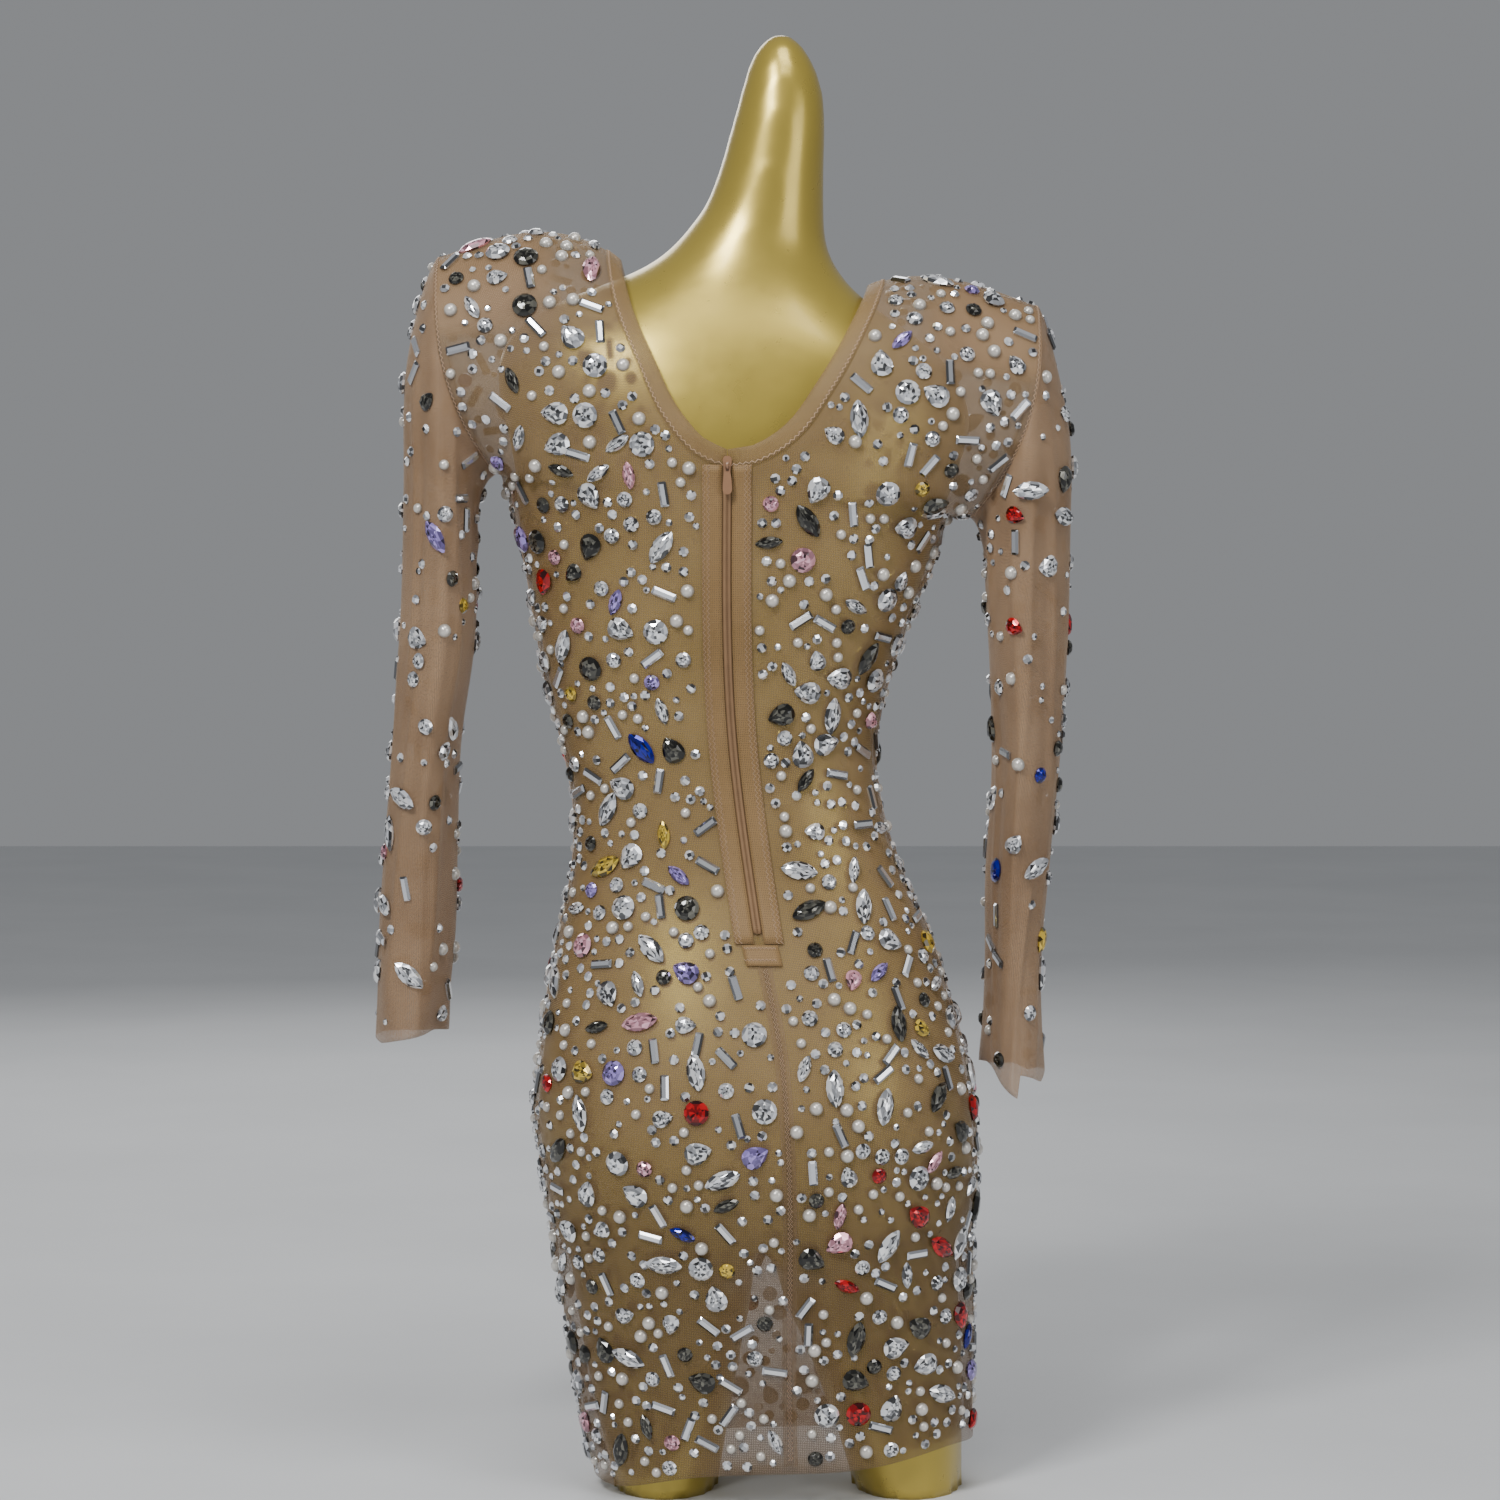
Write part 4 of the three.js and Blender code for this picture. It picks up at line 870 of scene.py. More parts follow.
# One side of the closed tape and one tooth: how far off the middle and how high, in metres.
TAPE_PROFILE = [(0.0031, 0.0004), (0.0018, 0.0009), (0.0006, 0.00125), (0.0001, 0.00055)]
TOOTH_PROFILE = [(0.0012, 0.0011), (0.0004, 0.00145)]


def centre_path(top, bottom, step=6):
    """Points down the centre back, on the cloth, with the sideways direction at each."""
    count = max(2, round((top - bottom) / step))
    path = []
    for k in range(count + 1):
        z = mix(top, bottom, k / count)
        low = min(z, UNDERARM_CENTRE)
        y = section_point(angle_at_x(centre_back.x(z), low), low)[1]
        path.append(on_cloth(metres(centre_back.x(z), y, z), 0)[0])
    return path, [Vector((1, 0, 0))] * len(path)


zip_line = centre_path(ZIP_TOP - 4, ZIP_BOTTOM)
for side, way in (("left", 1), ("right", -1)):
    facing = strip_grid(*zip_line, way * FACING_NEAR, way * FACING_FAR, BAND_LIFT)
    make_strip(f"{side}_zip_facing", facing, doubled_cloth, f"zip_facing_{side}")


def plain_material(name, colour, **values):
    material, tree, shader = new_material(name)
    tint_unevenly(tree, shader, 120, [c * 0.88 for c in colour], colour)
    set_inputs(shader, **values)
    return material


tape_weave = plain_material("tape_weave", (0.27, 0.155, 0.075), Roughness=0.75)
tan_thread = plain_material("tan_thread", (0.60, 0.42, 0.29), Roughness=0.7)
tan_enamel = plain_material("tan_enamel", (0.30, 0.16, 0.085), Roughness=0.26, Coat_Weight=0.7)


ACROSS_NO_PATH = (0.31, 0.87, 0.38)  # a direction that no thread or tooth follows


def tube_mesh(name, paths, radius, sides=3):
    """Thin tubes along several paths, in one mesh."""
    verts, faces = [], []
    for path in paths:
        points = np.array(path)
        along = unit(np.gradient(points, axis=0))
        away = unit(np.cross(along, ACROSS_NO_PATH))
        third = np.cross(along, away)
        start = len(verts)
        for p, a, b in zip(points, away, third):
            for s in range(sides):
                turn = 2 * math.pi * s / sides
                verts.append(p + radius * (a * math.cos(turn) + b * math.sin(turn)))
        for k in range(len(points) - 1):
            for s in range(sides):
                a, b = start + k * sides + s, start + k * sides + (s + 1) % sides
                faces.append((a, b, b + sides, a + sides))
    mesh = bpy.data.meshes.new(name)
    mesh.from_pydata([tuple(v) for v in verts], [], faces)
    mesh.shade_smooth()
    return mesh


def across_zip(line, profile):
    """Rows of points across the zip, one at each point of a line, from a profile of one side."""
    both = [(-off, lift) for off, lift in profile] + profile[::-1]
    return [[on_cloth(p + d * off, lift)[0] for off, lift in both] for p, d in zip(*line)]


tape_rows = across_zip(centre_path(ZIP_TOP - 2, COIL_BOTTOM, 4), TAPE_PROFILE)
tape = add_mesh("zip_tape", sheet_mesh("zip_tape", [(np.array(tape_rows), 1)]), tape_weave)
thicken(tape, TAPE_THICKNESS)
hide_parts("zip_coil")
teeth = across_zip(centre_path(ZIP_TOP - 4, COIL_BOTTOM, COIL_PITCH * 1000), TOOTH_PROFILE)
add_mesh("zip_coil_teeth", tube_mesh("zip_coil_teeth", teeth, COIL_RADIUS, 4), tape_weave)
patch_path, patch_side = centre_path(PATCH["top"], PATCH["bottom"], 3)
half_patch = PATCH["half_width"]
patch_points = strip_grid(patch_path, patch_side, -half_patch, half_patch, PATCH["lift"], 6)
make_strip("zip_end_cover", patch_points, doubled_cloth, "zip_end_patch")
for node in ("zip_slider", "zip_pull"):
    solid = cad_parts[node]
    solid.data.materials.clear()
    solid.data.materials.append(tan_enamel)
    round_off = solid.modifiers.new("soft_edges", "BEVEL")
    round_off.width = 0.0004
    round_off.segments = 3

# The sewing: stretch zigzag on the bands and beside the zip, and flat seams at the centre back,
# sides and armholes; below the zip the centre back seam's narrow allowance inside shows through as a darker
# line.
STITCH_LIFT = 0.0014
SEAM_LIFT = 0.0004
THREAD_RADIUS = 0.00028
# Rows of zigzag, in metres: how far off their line, swing, pitch, lift.
BAND_ZIGZAG = (0.0112, 0.0016, 0.0036, STITCH_LIFT)
ARMHOLE_ZIGZAG = (0.0018, 0.0016, 0.0036, SEAM_LIFT)
SIDE_ZIGZAG = (0.0012, 0.0016, 0.004, SEAM_LIFT)
CENTRE_ZIGZAG = (0.0008, 0.0016, 0.0036, SEAM_LIFT)
PATCH_ZIGZAG = (0, 0.0014, 0.0024, STITCH_LIFT + 0.0002)
FACING_ROWS, FACING_ZIGZAG = (0.0158, 0.0128), (0.0018, 0.0038, STITCH_LIFT)
ALLOWANCE_HALF, ALLOWANCE_LIFT = 0.005, -0.0009
PATCH_ROW_INSET, PATCH_ROW_HALF = 2.5, 11  # millimetres


def zigzag(path, sideways, offset, swing, pitch, lift):
    """A zigzag of thread that follows a path at an offset from it, one corner every half pitch."""
    points = np.array(path)
    lengths = np.concatenate([[0], np.linalg.norm(np.diff(points, axis=0), axis=1).cumsum()])
    count = max(2, int(lengths[-1] / pitch * 2))
    spots = np.linspace(0, lengths[-1], count)
    centre = np.stack([np.interp(spots, lengths, points[:, c]) for c in range(3)], axis=1)
    beside = np.stack([np.interp(spots, lengths, np.array(sideways)[:, c]) for c in range(3)], axis=1)
    swings = offset + swing * np.where(np.arange(count) % 2, 0.5, -0.5)
    return [on_cloth(p + d * s, lift)[0] for p, d, s in zip(centre, beside, swings)]


def border_path(name, column, first, last):
    """A border of a quarter, with the direction across it at each point."""
    points = grids[name][0][first:last, column]
    neighbour = grids[name][0][first:last, column + (2 if column == 0 else -2)]
    return [Vector(p) for p in points], [Vector(d) for d in unit(neighbour - points)]


def stitch_rows():
    rows = []
    for quarter in QUARTERS:
        rows.append(zigzag(*neck_path(quarter), *BAND_ZIGZAG))
        armhole_line = border_path(quarter, -1, BODY_ROWS * ROWS_PER_CELL + 1, None)
        rows.append(zigzag(*armhole_line, *ARMHOLE_ZIGZAG))
        if "back" in quarter:
            side_seam = border_path(quarter, -1, 1, BODY_ROWS * ROWS_PER_CELL)
            rows.append(zigzag(*side_seam, *SIDE_ZIGZAG))
    below = centre_path(PATCH["bottom"] - 2, HEM["middle"] + 10)
    for way in (1, -1):
        rows += [zigzag(*zip_line, way * offset, *FACING_ZIGZAG) for offset in FACING_ROWS]
        rows.append(zigzag(*below, way * CENTRE_ZIGZAG[0], *CENTRE_ZIGZAG[1:]))
    x, y, _ = patch_path[0]
    offs = range(-PATCH_ROW_HALF, PATCH_ROW_HALF + 1)
    for height in (PATCH["top"] - PATCH_ROW_INSET, PATCH["bottom"] + PATCH_ROW_INSET):
        row = [Vector((x + off / 1000, y, height / 1000)) for off in offs]
        rows.append(zigzag(row, [Vector((0, 0, 1))] * len(row), *PATCH_ZIGZAG))
    return rows


stitches = tube_mesh("stitching", stitch_rows(), THREAD_RADIUS)
add_mesh("stitching", stitches, tan_thread)
below_zip = centre_path(PATCH["bottom"] + 2, HEM["middle"] + 6)
seam_cloth = mesh_cloth("seam_cloth", (0.29, 0.18, 0.09), (0.36, 0.23, 0.12), 0.12, 0.4)
allowance = strip_grid(*below_zip, -ALLOWANCE_HALF, ALLOWANCE_HALF, ALLOWANCE_LIFT)
make_strip("centre_seam_allowance", allowance, seam_cloth, None)

# The stones: about three thousand glued crystals and pearls, set at random, close on the body and
# sparser on the sleeves. A foil-backed crystal has a flat base, a girdle, a cut crown and a table.
STONE_SEED = 41
STONE_GAP = 0.0009
STONE_SINK = 0.0001
# Where the solids carry their large stones: a key for each cloth, their cells, and the shares of
# cells, of rounds and of rounds and pears.
SOLID_KEYS = {"left_back": 3, "right_back": 7, "left_front": 13, "right_front": 17, "left": 29, "right": 31}
SLEEVE_CELL_ROWS, SLEEVE_CELL_COLUMNS, CELL_EASE = 20, 14, 1.15
STONE_SHARE, SLEEVE_SHARE, ROUND_SHARE, PEAR_SHARE = 0.22, 0.6, 0.34, 0.7
# How far stones keep from each edge, in metres.
KEEP_OFF = {"side": 0.0016, "hem": 0.003, "shoulder": 0.0012, "centre": 0.0024, "cuff": 0.003,
            "armhole": 0.002}
# Cut, length and width in metres, height, and its share among the large stones.
LARGE_CUTS = [
    ("round", 0.0175, 0.0175, 0.005, 0.13), ("round", 0.0115, 0.0115, 0.004, 0.12),
    ("pear", 0.0195, 0.0150, 0.005, 0.22), ("pear", 0.0150, 0.0115, 0.0042, 0.13),
    ("marquise", 0.0265, 0.0130, 0.0048, 0.14), ("marquise", 0.0195, 0.0088, 0.004, 0.26),
]
MEDIUM_CUT = ("round", 0.0110, 0.0110, 0.0038)
SMALL_CUT = ("round", 0.0072, 0.0072, 0.0028)
TINY_CUT = ("round", 0.0050, 0.0050, 0.002)
BAGUETTE_CUT = ("baguette", 0.0175, 0.0060, 0.0026)
PEARL_HEIGHT = 0.46  # as a share of its width
LARGE_PEARL, SMALL_PEARL = ("pearl", 0.0098, 0.0098, 0), ("pearl", 0.0074, 0.0074, 0)
PEARL_TINT = (0.76, 0.715, 0.645)
# Tint in linear colour, its share of the large stones, and the mesh it is joined into.
TINTS = [
    ((0.93, 0.95, 1.0), 0.655, "clear"), ((0.15, 0.145, 0.12), 0.2, "smoky"),
    ((0.58, 0.004, 0.009), 0.038, "coloured"), ((0.004, 0.007, 0.32), 0.02, "coloured"),
    ((0.80, 0.55, 0.07), 0.022, "coloured"), ((0.95, 0.45, 0.55), 0.037, "coloured"),
    ((0.42, 0.32, 0.80), 0.028, "coloured"),
]


def scatter(i, j, key):
    """An even value from 0 to 1 for a cell, the one by which the solids' large stones are placed."""
    def imul(a, b):
        return (a * b) & 0xFFFFFFFF
    h = imul(i + 1, 374761393) ^ imul(j + 1, 668265263) ^ imul(key + 1, 1274126177)
    h = imul(h ^ (h >> 15), 2246822519)
    h = imul(h ^ (h >> 13), 3266489917)
    return (h ^ (h >> 16)) / 2**32


MARQUISE_POINT, PEAR_POINT, PEAR_TAPER = 1.5, 1.45, 0.3
BAGUETTE_CORNER, BAGUETTE_INSET, BAGUETTE_REACH = 0.12, 0.26, 0.36


def outline(cut, length, width, count):
    """A stone's girdle seen from above, as points round it."""
    x, y, corner = length / 2, width / 2, width * BAGUETTE_CORNER
    if cut == "baguette":
        return [(x, y - corner), (x - corner, y), (corner - x, y), (-x, y - corner),
                (-x, corner - y), (corner - x, -y), (x - corner, -y), (x, corner - y)]
    ring = []
    for k in range(count):
        turn = 2 * math.pi * k / count
        along, beside, taper = math.cos(turn), math.sin(turn), 1
        if cut == "marquise":
            beside = power(beside, MARQUISE_POINT)
        if cut == "pear":
            beside, taper = power(beside, PEAR_POINT if along > 0 else 1), 1 - PEAR_TAPER * along
        ring.append((x * along, y * beside * taper))
    return ring


# Rings of a cut stone from its base up: share of its outline, share of its height, half a step on.
CROWNS = {
    "fine": [(0.9, 0.0, False), (1.0, 0.3, False), (0.8, 0.7, True), (0.52, 0.92, False),
             (0.26, 0.975, True)],
    "plain": [(0.92, 0.0, False), (1.0, 0.3, False), (0.6, 0.95, True)],
    "baguette": [(0.96, 0.0, False), (1.0, 0.45, False), (0.0, 1.0, False)],
}


def stone_template(cut, length, width, height, count, crown):
    """A faceted stone as its points and its faces, made as the hull of its rings."""
    body = bmesh.new()
    for share, level, between in CROWNS[crown]:
        ring = outline(cut, length, width, count)
        if between:
            ring = [((a[0] + b[0]) / 2, (a[1] + b[1]) / 2) for a, b in zip(ring[::2], ring[1::2])]
        if share == 0:
            long, wide = length / 2 - width * BAGUETTE_INSET, width / 2 - width * BAGUETTE_INSET
            ring = [(math.copysign(long, x), math.copysign(wide, y)) for x, y in ring[::2]]
            share = 1
        for x, y in ring:
            body.verts.new((x * share, y * share, height * level))
    if crown == "fine":
        body.verts.new((0, 0, height))
    bmesh.ops.remove_doubles(body, verts=body.verts, dist=1e-6)
    bmesh.ops.convex_hull(body, input=body.verts)
    loose = [v for v in body.verts if not v.link_faces]
    bmesh.ops.delete(body, geom=loose, context="VERTS")
    bmesh.ops.dissolve_limit(body, angle_limit=0.02, verts=body.verts, edges=body.edges)
    body.normal_update()
    body.verts.ensure_lookup_table()
    points = np.array([v.co[:] for v in body.verts])
    faces = [[v.index for v in f.verts] for f in body.faces]
    upright = np.array([f.normal.z for f in body.faces])
    body.free()
    return points, faces, upright


def pearl_template(size, rings=4, sides=12):
    """A half pearl: rings of a low dome, and no base, because it is glued down."""
    height = size * PEARL_HEIGHT
    points = [(0, 0, height)]
    for r in range(1, rings + 1):
        lean = math.pi / 2 * r / rings
        reach = size / 2 * math.sin(lean)
        for s in range(sides):
            turn = 2 * math.pi * s / sides
            points.append((reach * math.cos(turn), reach * math.sin(turn), height * math.cos(lean)))
    faces = [[0, 1 + s, 1 + (s + 1) % sides] for s in range(sides)]
    for r in range(rings - 1):
        for s in range(sides):
            a, b = 1 + r * sides + s, 1 + r * sides + (s + 1) % sides
            faces.append([a, a + sides, b + sides, b])
    upright = [math.cos(math.pi / 2 * (r + 0.5) / rings) for r in range(rings) for s in range(sides)]
    return np.array(points), faces, np.array(upright)


class Setter:
    """Chooses places for stones on the cloth, clear of each other, of the seams and of the zip."""

    def __init__(self, seed):
        self.random = np.random.default_rng(seed)
        self.places = np.zeros((0, 3))
        self.reach = np.zeros(0)
        self.cloths = {}

    def add_cloth(self, name, points, normals):
        a = points[:-1, 1:] - points[:-1, :-1]
        b = points[1:, :-1] - points[:-1, :-1]
        area = np.linalg.norm(np.cross(a, b), axis=2)
        self.cloths[name] = (points, normals, area.ravel().cumsum(), area.shape)

    def block(self, points, reach):
        points = np.array(points).reshape(-1, 3)
        self.places = np.concatenate([self.places, points])
        self.reach = np.concatenate([self.reach, np.full(len(points), reach)])

    def clear(self, place, reach):
        off = self.places - place
        return bool((np.einsum("ij,ij->i", off, off) > (self.reach + reach) ** 2).all())

    def spot(self, name, row, column):
        """A place and outward direction at a fractional row and column of a cloth's grid."""
        points, normals, _, _ = self.cloths[name]
        j, i = min(int(row), len(points) - 2), min(int(column), points.shape[1] - 2)
        s, t = column - i, row - j

        def at(grid):
            low = grid[j, i] * (1 - s) + grid[j, i + 1] * s
            high = grid[j + 1, i] * (1 - s) + grid[j + 1, i + 1] * s
            return low * (1 - t) + high * t

        n = at(normals)
        return at(points), n / np.linalg.norm(n)

    def throw(self, name, density_at=None):
        points, _, total, shape = self.cloths[name]
        pick = int(np.searchsorted(total, self.random.random() * total[-1]))
        j, i = divmod(min(pick, len(total) - 1), shape[1])
        s, t = self.random.random(2)
        if density_at and self.random.random() > density_at(j + t):
            return None
        return self.spot(name, j + t, i + s)


setter = Setter(STONE_SEED)
for quarter, (points, normals) in grids.items():
    setter.add_cloth(quarter, points, normals)
for side, both in sleeve_grids.items():
    setter.add_cloth(side, *(np.concatenate([g, g[:, :1]], axis=1) for g in both))
for quarter, (points, _) in grids.items():
    setter.block(neck_path(quarter)[0], BAND_WIDTH)
    setter.block(points[::2, -1], KEEP_OFF["side"])
    setter.block(points[0, ::2], KEEP_OFF["hem"])
    setter.block(points[-1, ::2], KEEP_OFF["shoulder"])
    if "back" in quarter:
        setter.block(points[::2, 0], KEEP_OFF["centre"])
setter.block(zip_line[0], FACING_FAR)
setter.block(patch_path, PATCH["half_width"])
for points, _ in sleeve_grids.values():
    setter.block(points[-1, ::2], KEEP_OFF["cuff"])
    setter.block(points[0, ::2], KEEP_OFF["armhole"])

placed = []  # of each stone: size row, tint, group, place, outward direction


def pick_tint():
    draw = setter.random.random()
    for tint, share, group in TINTS:
        draw -= share
        if draw < 0:
            return tint, group
    return TINTS[0][0], TINTS[0][2]


def pick_large(limit):
    rows = [r for r in LARGE_CUTS if r[1] <= limit]
    shares = np.array([r[4] for r in rows])
    return rows[setter.random.choice(len(rows), p=shares / shares.sum())]


def set_stone(spot, row, tint, group):
    cut, length, width, _ = row[:4]
    reach = (length + width) / 4 if cut != "baguette" else length * BAGUETTE_REACH
    place, out = spot
    if setter.clear(place, reach + STONE_GAP):
        setter.block(place, reach)
        placed.append((row, tint, group, place, out))
        return True
    return False


def solid_cells(name):
    """The cells of a cloth in which the solids may carry a stone, as places on its grid."""
    if name in QUARTERS:
        for j in range(1, BODY_ROWS + ARM_ROWS - 2):
            for i in range(1, COLUMNS if j < BODY_ROWS else COLUMNS - 1):
                yield i, j, (j + 0.5) * ROWS_PER_CELL, (i + 0.5) * (PANEL_COLUMNS / COLUMNS)
        return
    for j in range(2, SLEEVE_CELL_ROWS - 1):
        down = sum(((j + k) / SLEEVE_CELL_ROWS) ** CELL_EASE for k in (0, 1)) / 2
        for i in range(SLEEVE_CELL_COLUMNS):
            if scatter(i, j, SOLID_KEYS[name] + 5) < SLEEVE_SHARE:
                column = (i + 0.5) / SLEEVE_CELL_COLUMNS * SLEEVE_COLUMNS
                yield i, j, SLEEVE_RINGS * down ** (1 / RING_EASE), column


def set_solids_large_stones(name):
    """The large stones that the solids carry on one cloth, cell by cell."""
    for i, j, row, column in solid_cells(name):
        if scatter(i, j, SOLID_KEYS[name]) <= STONE_SHARE:
            kind = scatter(i, j, SOLID_KEYS[name] + 11)
            first = 0 if name in QUARTERS else 1
            cut = LARGE_CUTS[first if kind < ROUND_SHARE else 2 if kind < PEAR_SHARE else 4]
            set_stone(setter.spot(name, row, column), cut, *pick_tint())


def throw_many(names, wanted, choose, tries, density_at=None):
    areas = np.array([setter.cloths[n][2][-1] for n in names])
    for name, area in zip(names, areas):
        target = wanted * area / areas.sum()
        done = 0
        for _ in range(int(target * tries)):
            if done >= target:
                break
            spot = setter.throw(name, density_at)
            if spot is not None:
                done += set_stone(spot, *choose())


def sleeve_density(row):
    """Stones thin out from the shoulder to the forearm."""
    down = row / SLEEVE_RINGS
    shoulder, upper, fore = SLEEVE_DENSITIES
    return shoulder if down < SHOULDER_END else upper if down < ELBOW else fore


def always(row, group, tint=TINTS[0][0]):
    return lambda: (row, tint, group)


SLEEVE_DENSITIES, SHOULDER_END, ELBOW = (1.0, 0.36, 0.24), 0.12, 0.45
SLEEVE_TRIES = 40
BODY_LONGEST, SLEEVE_LONGEST = 0.03, 0.016
# What is thrown, in order: a stone, how many on the body and on the sleeves, and the tries that each
# one on the body is given.
THROWS = [
    (lambda: (pick_large(BODY_LONGEST), *pick_tint()), 300, 0, 14),
    (lambda: (MEDIUM_CUT, *pick_tint()), 150, 0, 14),
    (lambda: (pick_large(SLEEVE_LONGEST), *pick_tint()), 0, 60, 14),
    (always(BAGUETTE_CUT, "baguette"), 190, 40, 14),
    (always(LARGE_PEARL, "pearl", PEARL_TINT), 170, 17, 20),
    (always(SMALL_PEARL, "pearl", PEARL_TINT), 270, 27, 20),
    (always(SMALL_CUT, "small"), 880, 90, 24),
    (always(TINY_CUT, "small"), 500, 60, 24),
]
for name in SOLID_KEYS:
    set_solids_large_stones(name)
for choose, on_body, on_sleeves, tries in THROWS:
    throw_many(list(QUARTERS), on_body, choose, tries)
    throw_many(list(SIDES), on_sleeves, choose, SLEEVE_TRIES, sleeve_density)

templates = {}
# Points round a stone and its crown; the large stones have a fine one.
PLAINER_STONES = {"baguette": (8, "baguette"), "small": (8, "plain")}


def template_for(row, group):
    key = (row[:4], group)
    if key not in templates and group == "pearl":
        templates[key] = pearl_template(row[1])
    if key not in templates:
        templates[key] = stone_template(*row[:4], *PLAINER_STONES.get(group, (16, "fine")))
    return templates[key]


# The facets' bright, middling and dark values are painted glints, painted reflections and painted shade.
# Shares of bright and of middling facets; the rest are dark. Then how light each sort is: the least
# of it and the range above that.
FACET_SHARES = {"clear": (0.42, 0.32), "small": (0.5, 0.3), "smoky": (0.16, 0.3), "coloured": (0.4, 0.4)}
PAINTED_GLINT, PAINTED_MIDDLING, PAINTED_FACET_SHADE = (0.85, 0.5), (0.3, 0.3), (0.03, 0.1)
# The girdle's painted shade, the pearls' painted shade towards the base, and the baguettes' painted highlight
# and painted shade.
GIRDLE_PAINTED_SHADE, GIRDLE_UPRIGHT = 0.3, 0.25
PEARL_PAINTED_SHADE, PEARL_LEAST = 0.4, 0.92
TABLE_PAINTED_HIGHLIGHT, TABLE_UPRIGHT, SLOPE_PAINTED_LIGHT = (0.75, 0.35), 0.9, (0.35, 0.6)
SLOPE_PAINTED_SHADE, SLOPE_PAINTED_SHADE_SHARE = 0.14, 0.4


def painted_facet_light(upright, group, random):
    """Painted light on each facet: painted glints and painted shade make a cut stone a scatter of white, grey
    and dark facets.
    """
    if group == "pearl":
        # Painted shade: a pearl's rings darken towards its base, times a random tone for each pearl.
        return (PEARL_PAINTED_SHADE + (1 - PEARL_PAINTED_SHADE) * upright) * mix(PEARL_LEAST, 1, random.random())
    draw = random.random(len(upright))
    share = random.random(len(upright))
    if group == "baguette":
        # Painted highlight on a baguette's table, and painted light and painted shade on its slopes.
        table = TABLE_PAINTED_HIGHLIGHT[0] + TABLE_PAINTED_HIGHLIGHT[1] * random.random()
        slopes = np.where(draw < SLOPE_PAINTED_SHADE_SHARE, SLOPE_PAINTED_SHADE, SLOPE_PAINTED_LIGHT[0] + SLOPE_PAINTED_LIGHT[1] * share)
        return np.where(upright > TABLE_UPRIGHT, table, slopes)
    # Each facet of a crystal is painted bright, middling or dark at random, as painted glints and painted
    # shade.
    bright, middling = FACET_SHARES[group]
    light = np.where(draw < bright + middling, PAINTED_MIDDLING[0] + PAINTED_MIDDLING[1] * share, PAINTED_FACET_SHADE[0] + PAINTED_FACET_SHADE[1] * share)
    light = np.where(draw < bright, PAINTED_GLINT[0] + PAINTED_GLINT[1] * share, light)
    # The girdle gets one flat painted shade.
    return np.where(abs(upright) < GIRDLE_UPRIGHT, GIRDLE_PAINTED_SHADE, light)


def join_stones(name, group, material):
    """One mesh of every stone of a group, with the colour of each facet, its tint times its painted light, on
    its corners.
    """
    points, faces, colours = [], [], []
    start = 0
    for row, tint, of_group, place, out in placed:
        if of_group != group:
            continue
        shape, shape_faces, upright = template_for(row, group)
        turn = setter.random.random() * 2 * math.pi
        side = np.cross(out, (0.0, 0.0, 1.0) if abs(out[2]) < 0.9 else (1.0, 0.0, 0.0))
        side /= np.linalg.norm(side)
        other = np.cross(out, side)
        along = side * math.cos(turn) + other * math.sin(turn)
        across = np.cross(out, along)
        axes = np.stack([along, across, out])
        points.append(place + (shape - (0, 0, STONE_SINK)) @ axes)
        # Each facet's colour is its tint times its painted glint or painted shade.
        light = painted_facet_light(upright, group, setter.random)
        for ring, value in zip(shape_faces, light):
            faces.append([start + i for i in ring])
            colours += [(*(min(c * value, 1.0) for c in tint), 1.0)] * len(ring)
        start += len(shape)
    mesh = bpy.data.meshes.new(name)
    mesh.from_pydata(np.concatenate(points).tolist(), [], faces)
    facet = mesh.color_attributes.new("facet", "FLOAT_COLOR", "CORNER")
    facet.data.foreach_set("color", np.array(colours, dtype=np.float32).ravel())
    if group == "pearl":
        mesh.shade_smooth()
    add_mesh(name, mesh, material)


def stone_material(name, metallic, roughness, coat=0.6, coat_rough=0.03):
    material, tree, shader = new_material(name)
    facet = place_node(tree, "ShaderNodeAttribute", attribute_name="facet")
    # The base colour is the tint with the painted light of each facet.
    tree.links.new(facet.outputs["Color"], shader.inputs["Base Color"])
    set_inputs(shader, Metallic=metallic, Roughness=roughness, Coat_Weight=coat, Coat_Roughness=coat_rough)
    return material


# Each joined mesh: its group, its slot, its material's name, metallic share, roughness and coat.
STONE_MESHES = {
    "clear_crystals": ("clear", "crystal", "clear_cut", 0.55, 0.07),
    "small_crystals": ("small", "crystal", "small_cut", 0.55, 0.1),
    "baguettes": ("baguette", "crystal", "baguette_cut", 0.85, 0.12),
    "smoky_crystals": ("smoky", "dark_crystal", "smoky_cut", 0.5, 0.08),
    "coloured_crystals": ("coloured", "coloured_crystal", "coloured_cut", 0.5, 0.06),
    "pearls": ("pearl", "pearl", "pearl_lustre", 0.35, 0.3, 1.0, 0.12),
}
for name, (group, slot, *look) in STONE_MESHES.items():
    join_stones(name, group, stone_material(*look))

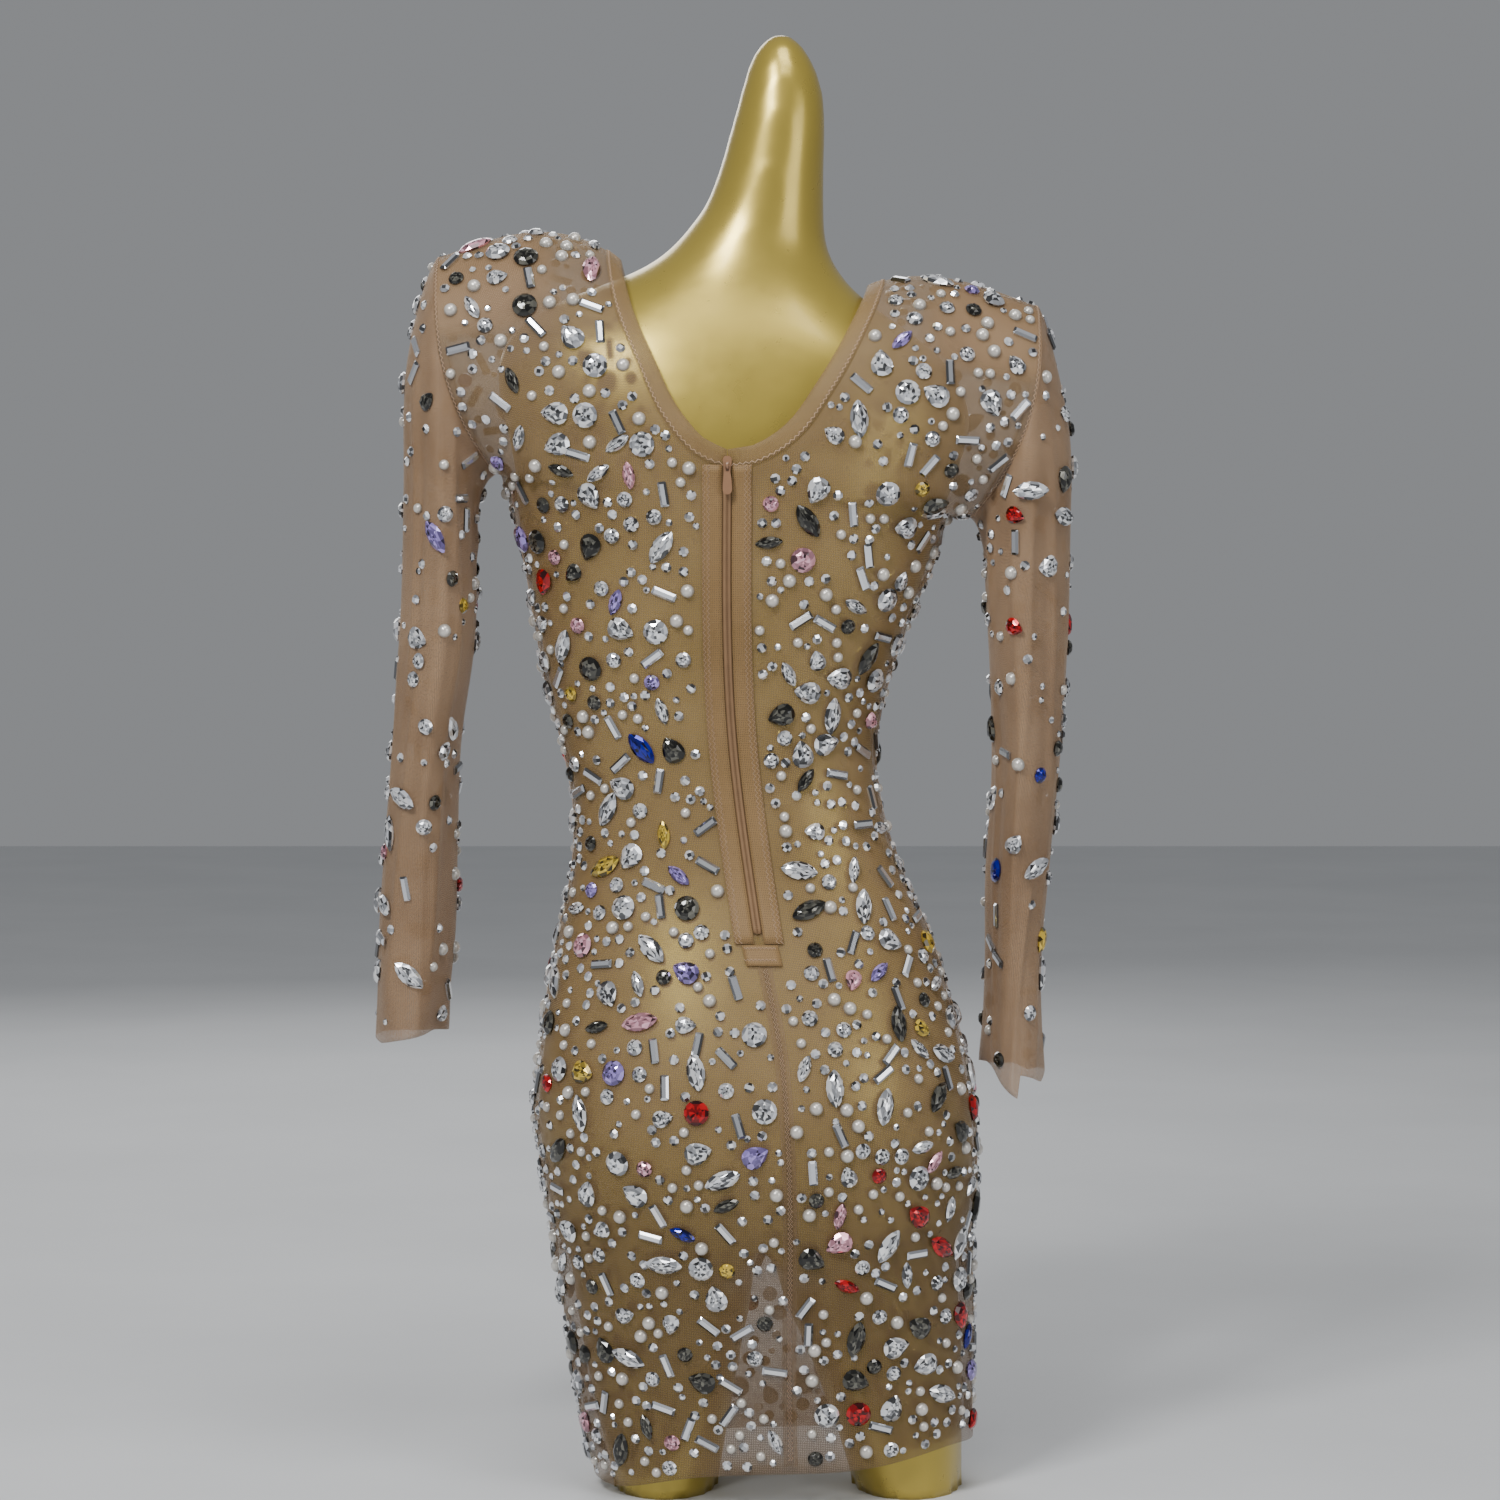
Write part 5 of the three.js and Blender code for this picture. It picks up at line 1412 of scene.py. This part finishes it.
# The floor, the lights and the camera, at the photograph's viewing angle: from behind, a little
# above the middle of the dress.
PHOTO_WIDTH = 1.065  # the width of the view at the figure, in metres
CAMERA = {"x": -0.020, "distance": 3.2, "height": 0.70, "aim": 0.525}


def make_camera():
    data = bpy.data.cameras.new("camera")
    camera = bpy.data.objects.new("camera", data)
    bpy.context.collection.objects.link(camera)
    camera.location = (CAMERA["x"], CAMERA["distance"], CAMERA["height"])
    aim = Vector((CAMERA["x"], 0, CAMERA["aim"]))
    camera.rotation_euler = (aim - camera.location).to_track_quat("-Z", "Y").to_euler()
    data.angle = 2 * math.atan(PHOTO_WIDTH / 2 / (aim - camera.location).length)
    bpy.context.scene.camera = camera


def make_light(name, place, aim, size, energy):
    data = bpy.data.lights.new(name, "AREA")
    data.size = size
    data.energy = energy
    light = bpy.data.objects.new(name, data)
    bpy.context.collection.objects.link(light)
    light.location = place
    light.rotation_euler = (Vector(aim) - Vector(place)).to_track_quat("-Z", "Y").to_euler()


def make_floor():
    body = bmesh.new()
    bmesh.ops.create_grid(body, x_segments=2, y_segments=2, size=6)
    floor = bpy.data.objects.new("floor", mesh_of(body, "floor"))
    bpy.context.collection.objects.link(floor)
    material, tree, shader = new_material("pale_floor")
    tint_unevenly(tree, shader, 3, (0.62, 0.63, 0.64), (0.66, 0.67, 0.68))
    set_inputs(shader, Roughness=0.7)
    floor.data.materials.append(material)


make_camera()
make_floor()
# Each light: its place, what it is aimed at, its size in metres and its power in watts.
LIGHTS = {
    "key": ((1.2, 2.4, 2.8), (0, 0, 0.6), 0.8, 88),
    "fill": ((-2.2, 2.0, 1.2), (0, 0, 0.5), 1.4, 18),
    "far_side": ((0.6, -2.6, 1.8), (0, 0, 0.6), 1.6, 26),
    "top": ((-0.3, 1.0, 2.7), (0, 0, 0.5), 1.0, 22),
}
for name, values in LIGHTS.items():
    make_light(name, *values)
world = bpy.data.worlds.new("studio")
world.use_nodes = True
set_inputs(world.node_tree.nodes["Background"], Color=(0.72, 0.74, 0.77, 1), Strength=0.35)
bpy.context.scene.world = world
